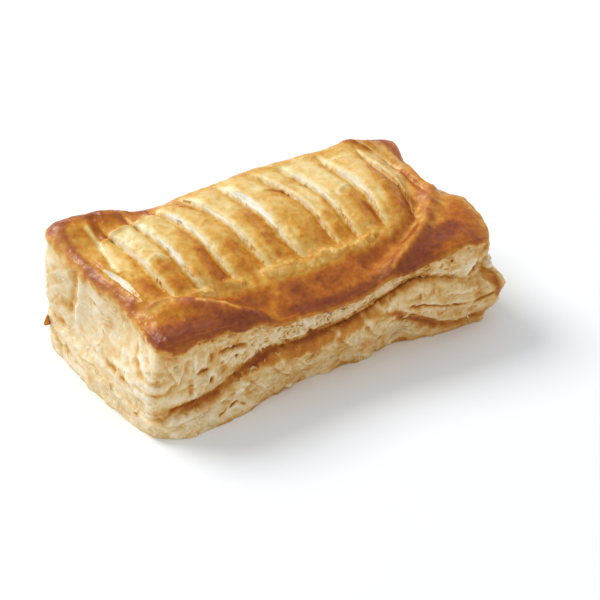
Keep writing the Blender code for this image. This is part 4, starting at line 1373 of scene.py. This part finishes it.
flakePoints, flakeFaces, flakeValues = makeFlakes(grid, skinPlaces, skinNormals, skinValues)
flakes = buildMesh("loose_flakes", flakePoints, flakeFaces, flakeValues)
# a loose flake is a single dry leaf, which lets more light through and shines evenly
flakes.data.materials.append(pastryMaterial(
    "dryPastryFlakes", dict(pastryLook, subsurface=0.3), pastryLook["drySpecular"]))
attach(flakes, "root")
print("flakes", len(flakes.data.polygons), "faces")

# Studio: a large soft light behind and to the left, a weak one at the left, white all round, and a
# floor of white card that fills every view
studio = {
    "floorHalf": 3000,
    "target": (0.0, 0.0, 20.0),
    "lights": {
        "keyLight": {"direction": (-0.433, 0.902, 1.02), "distance": 2000, "size": 1100, "power": 28.2},
        "leftLight": {"direction": (-1.0, -0.25, 0.45), "distance": 2000, "size": 620, "power": 0.5},
    },
    "surround": 0.76,
    "surroundColour": (0.912, 0.957, 1, 1),  # linear, as a light's colour is
}

floorMesh = bpy.data.meshes.new("floor")
floorHalf = studio["floorHalf"] * mm
corners = [(x * floorHalf, y * floorHalf, 0) for x, y in ((-1, -1), (1, -1), (1, 1), (-1, 1))]
floorMesh.from_pydata(corners, [], [(0, 1, 2, 3)])
floor = bpy.data.objects.new("floor", floorMesh)
floor.data.materials.append(cardMaterial("mattWhiteCard", cardLook))
bpy.context.scene.collection.objects.link(floor)


def addLight(name, setting):
    light = bpy.data.lights.new(name, "AREA")
    light.shape = "DISK"
    light.size = setting["size"] * mm
    light.energy = setting["power"]
    lamp = bpy.data.objects.new(name, light)
    away = Vector(setting["direction"]).normalized()
    lamp.location = (Vector(studio["target"]) + away * setting["distance"]) * mm
    lamp.rotation_euler = away.to_track_quat("Z", "Y").to_euler()
    bpy.context.scene.collection.objects.link(lamp)


for name, setting in studio["lights"].items():
    addLight(name, setting)
world = bpy.data.worlds.new("whiteStudio")
bpy.context.scene.world = world
world.use_nodes = True
background = world.node_tree.nodes["Background"]
background.inputs["Color"].default_value = studio["surroundColour"]
background.inputs["Strength"].default_value = studio["surround"]
bpy.context.scene.view_settings.view_transform = "Standard"

# Camera at the photograph's angle: degrees round from square on, and above the floor
camera = {
    "azimuth": -31.35,
    "elevation": 34.0,
    "distance": 850.0,
    "aim": (0.79, -14.6, 20.0),
    "lens": 152.16,
    "sensor": 36,  # across the picture's width
    "clip": (10, 20000),
}
cameraData = bpy.data.cameras.new("camera")
cameraData.lens = camera["lens"]
cameraData.sensor_width = camera["sensor"]
cameraData.clip_start, cameraData.clip_end = (limit * mm for limit in camera["clip"])
cameraObject = bpy.data.objects.new("camera", cameraData)
azimuth, elevation = math.radians(camera["azimuth"]), math.radians(camera["elevation"])
reach = math.cos(elevation)
back = Vector((math.sin(azimuth) * reach, -math.cos(azimuth) * reach, math.sin(elevation)))
cameraObject.location = (Vector(camera["aim"]) + back * camera["distance"]) * mm
cameraObject.rotation_euler = back.to_track_quat("Z", "Y").to_euler()
bpy.context.scene.collection.objects.link(cameraObject)
bpy.context.scene.camera = cameraObject
print("studio and camera set")
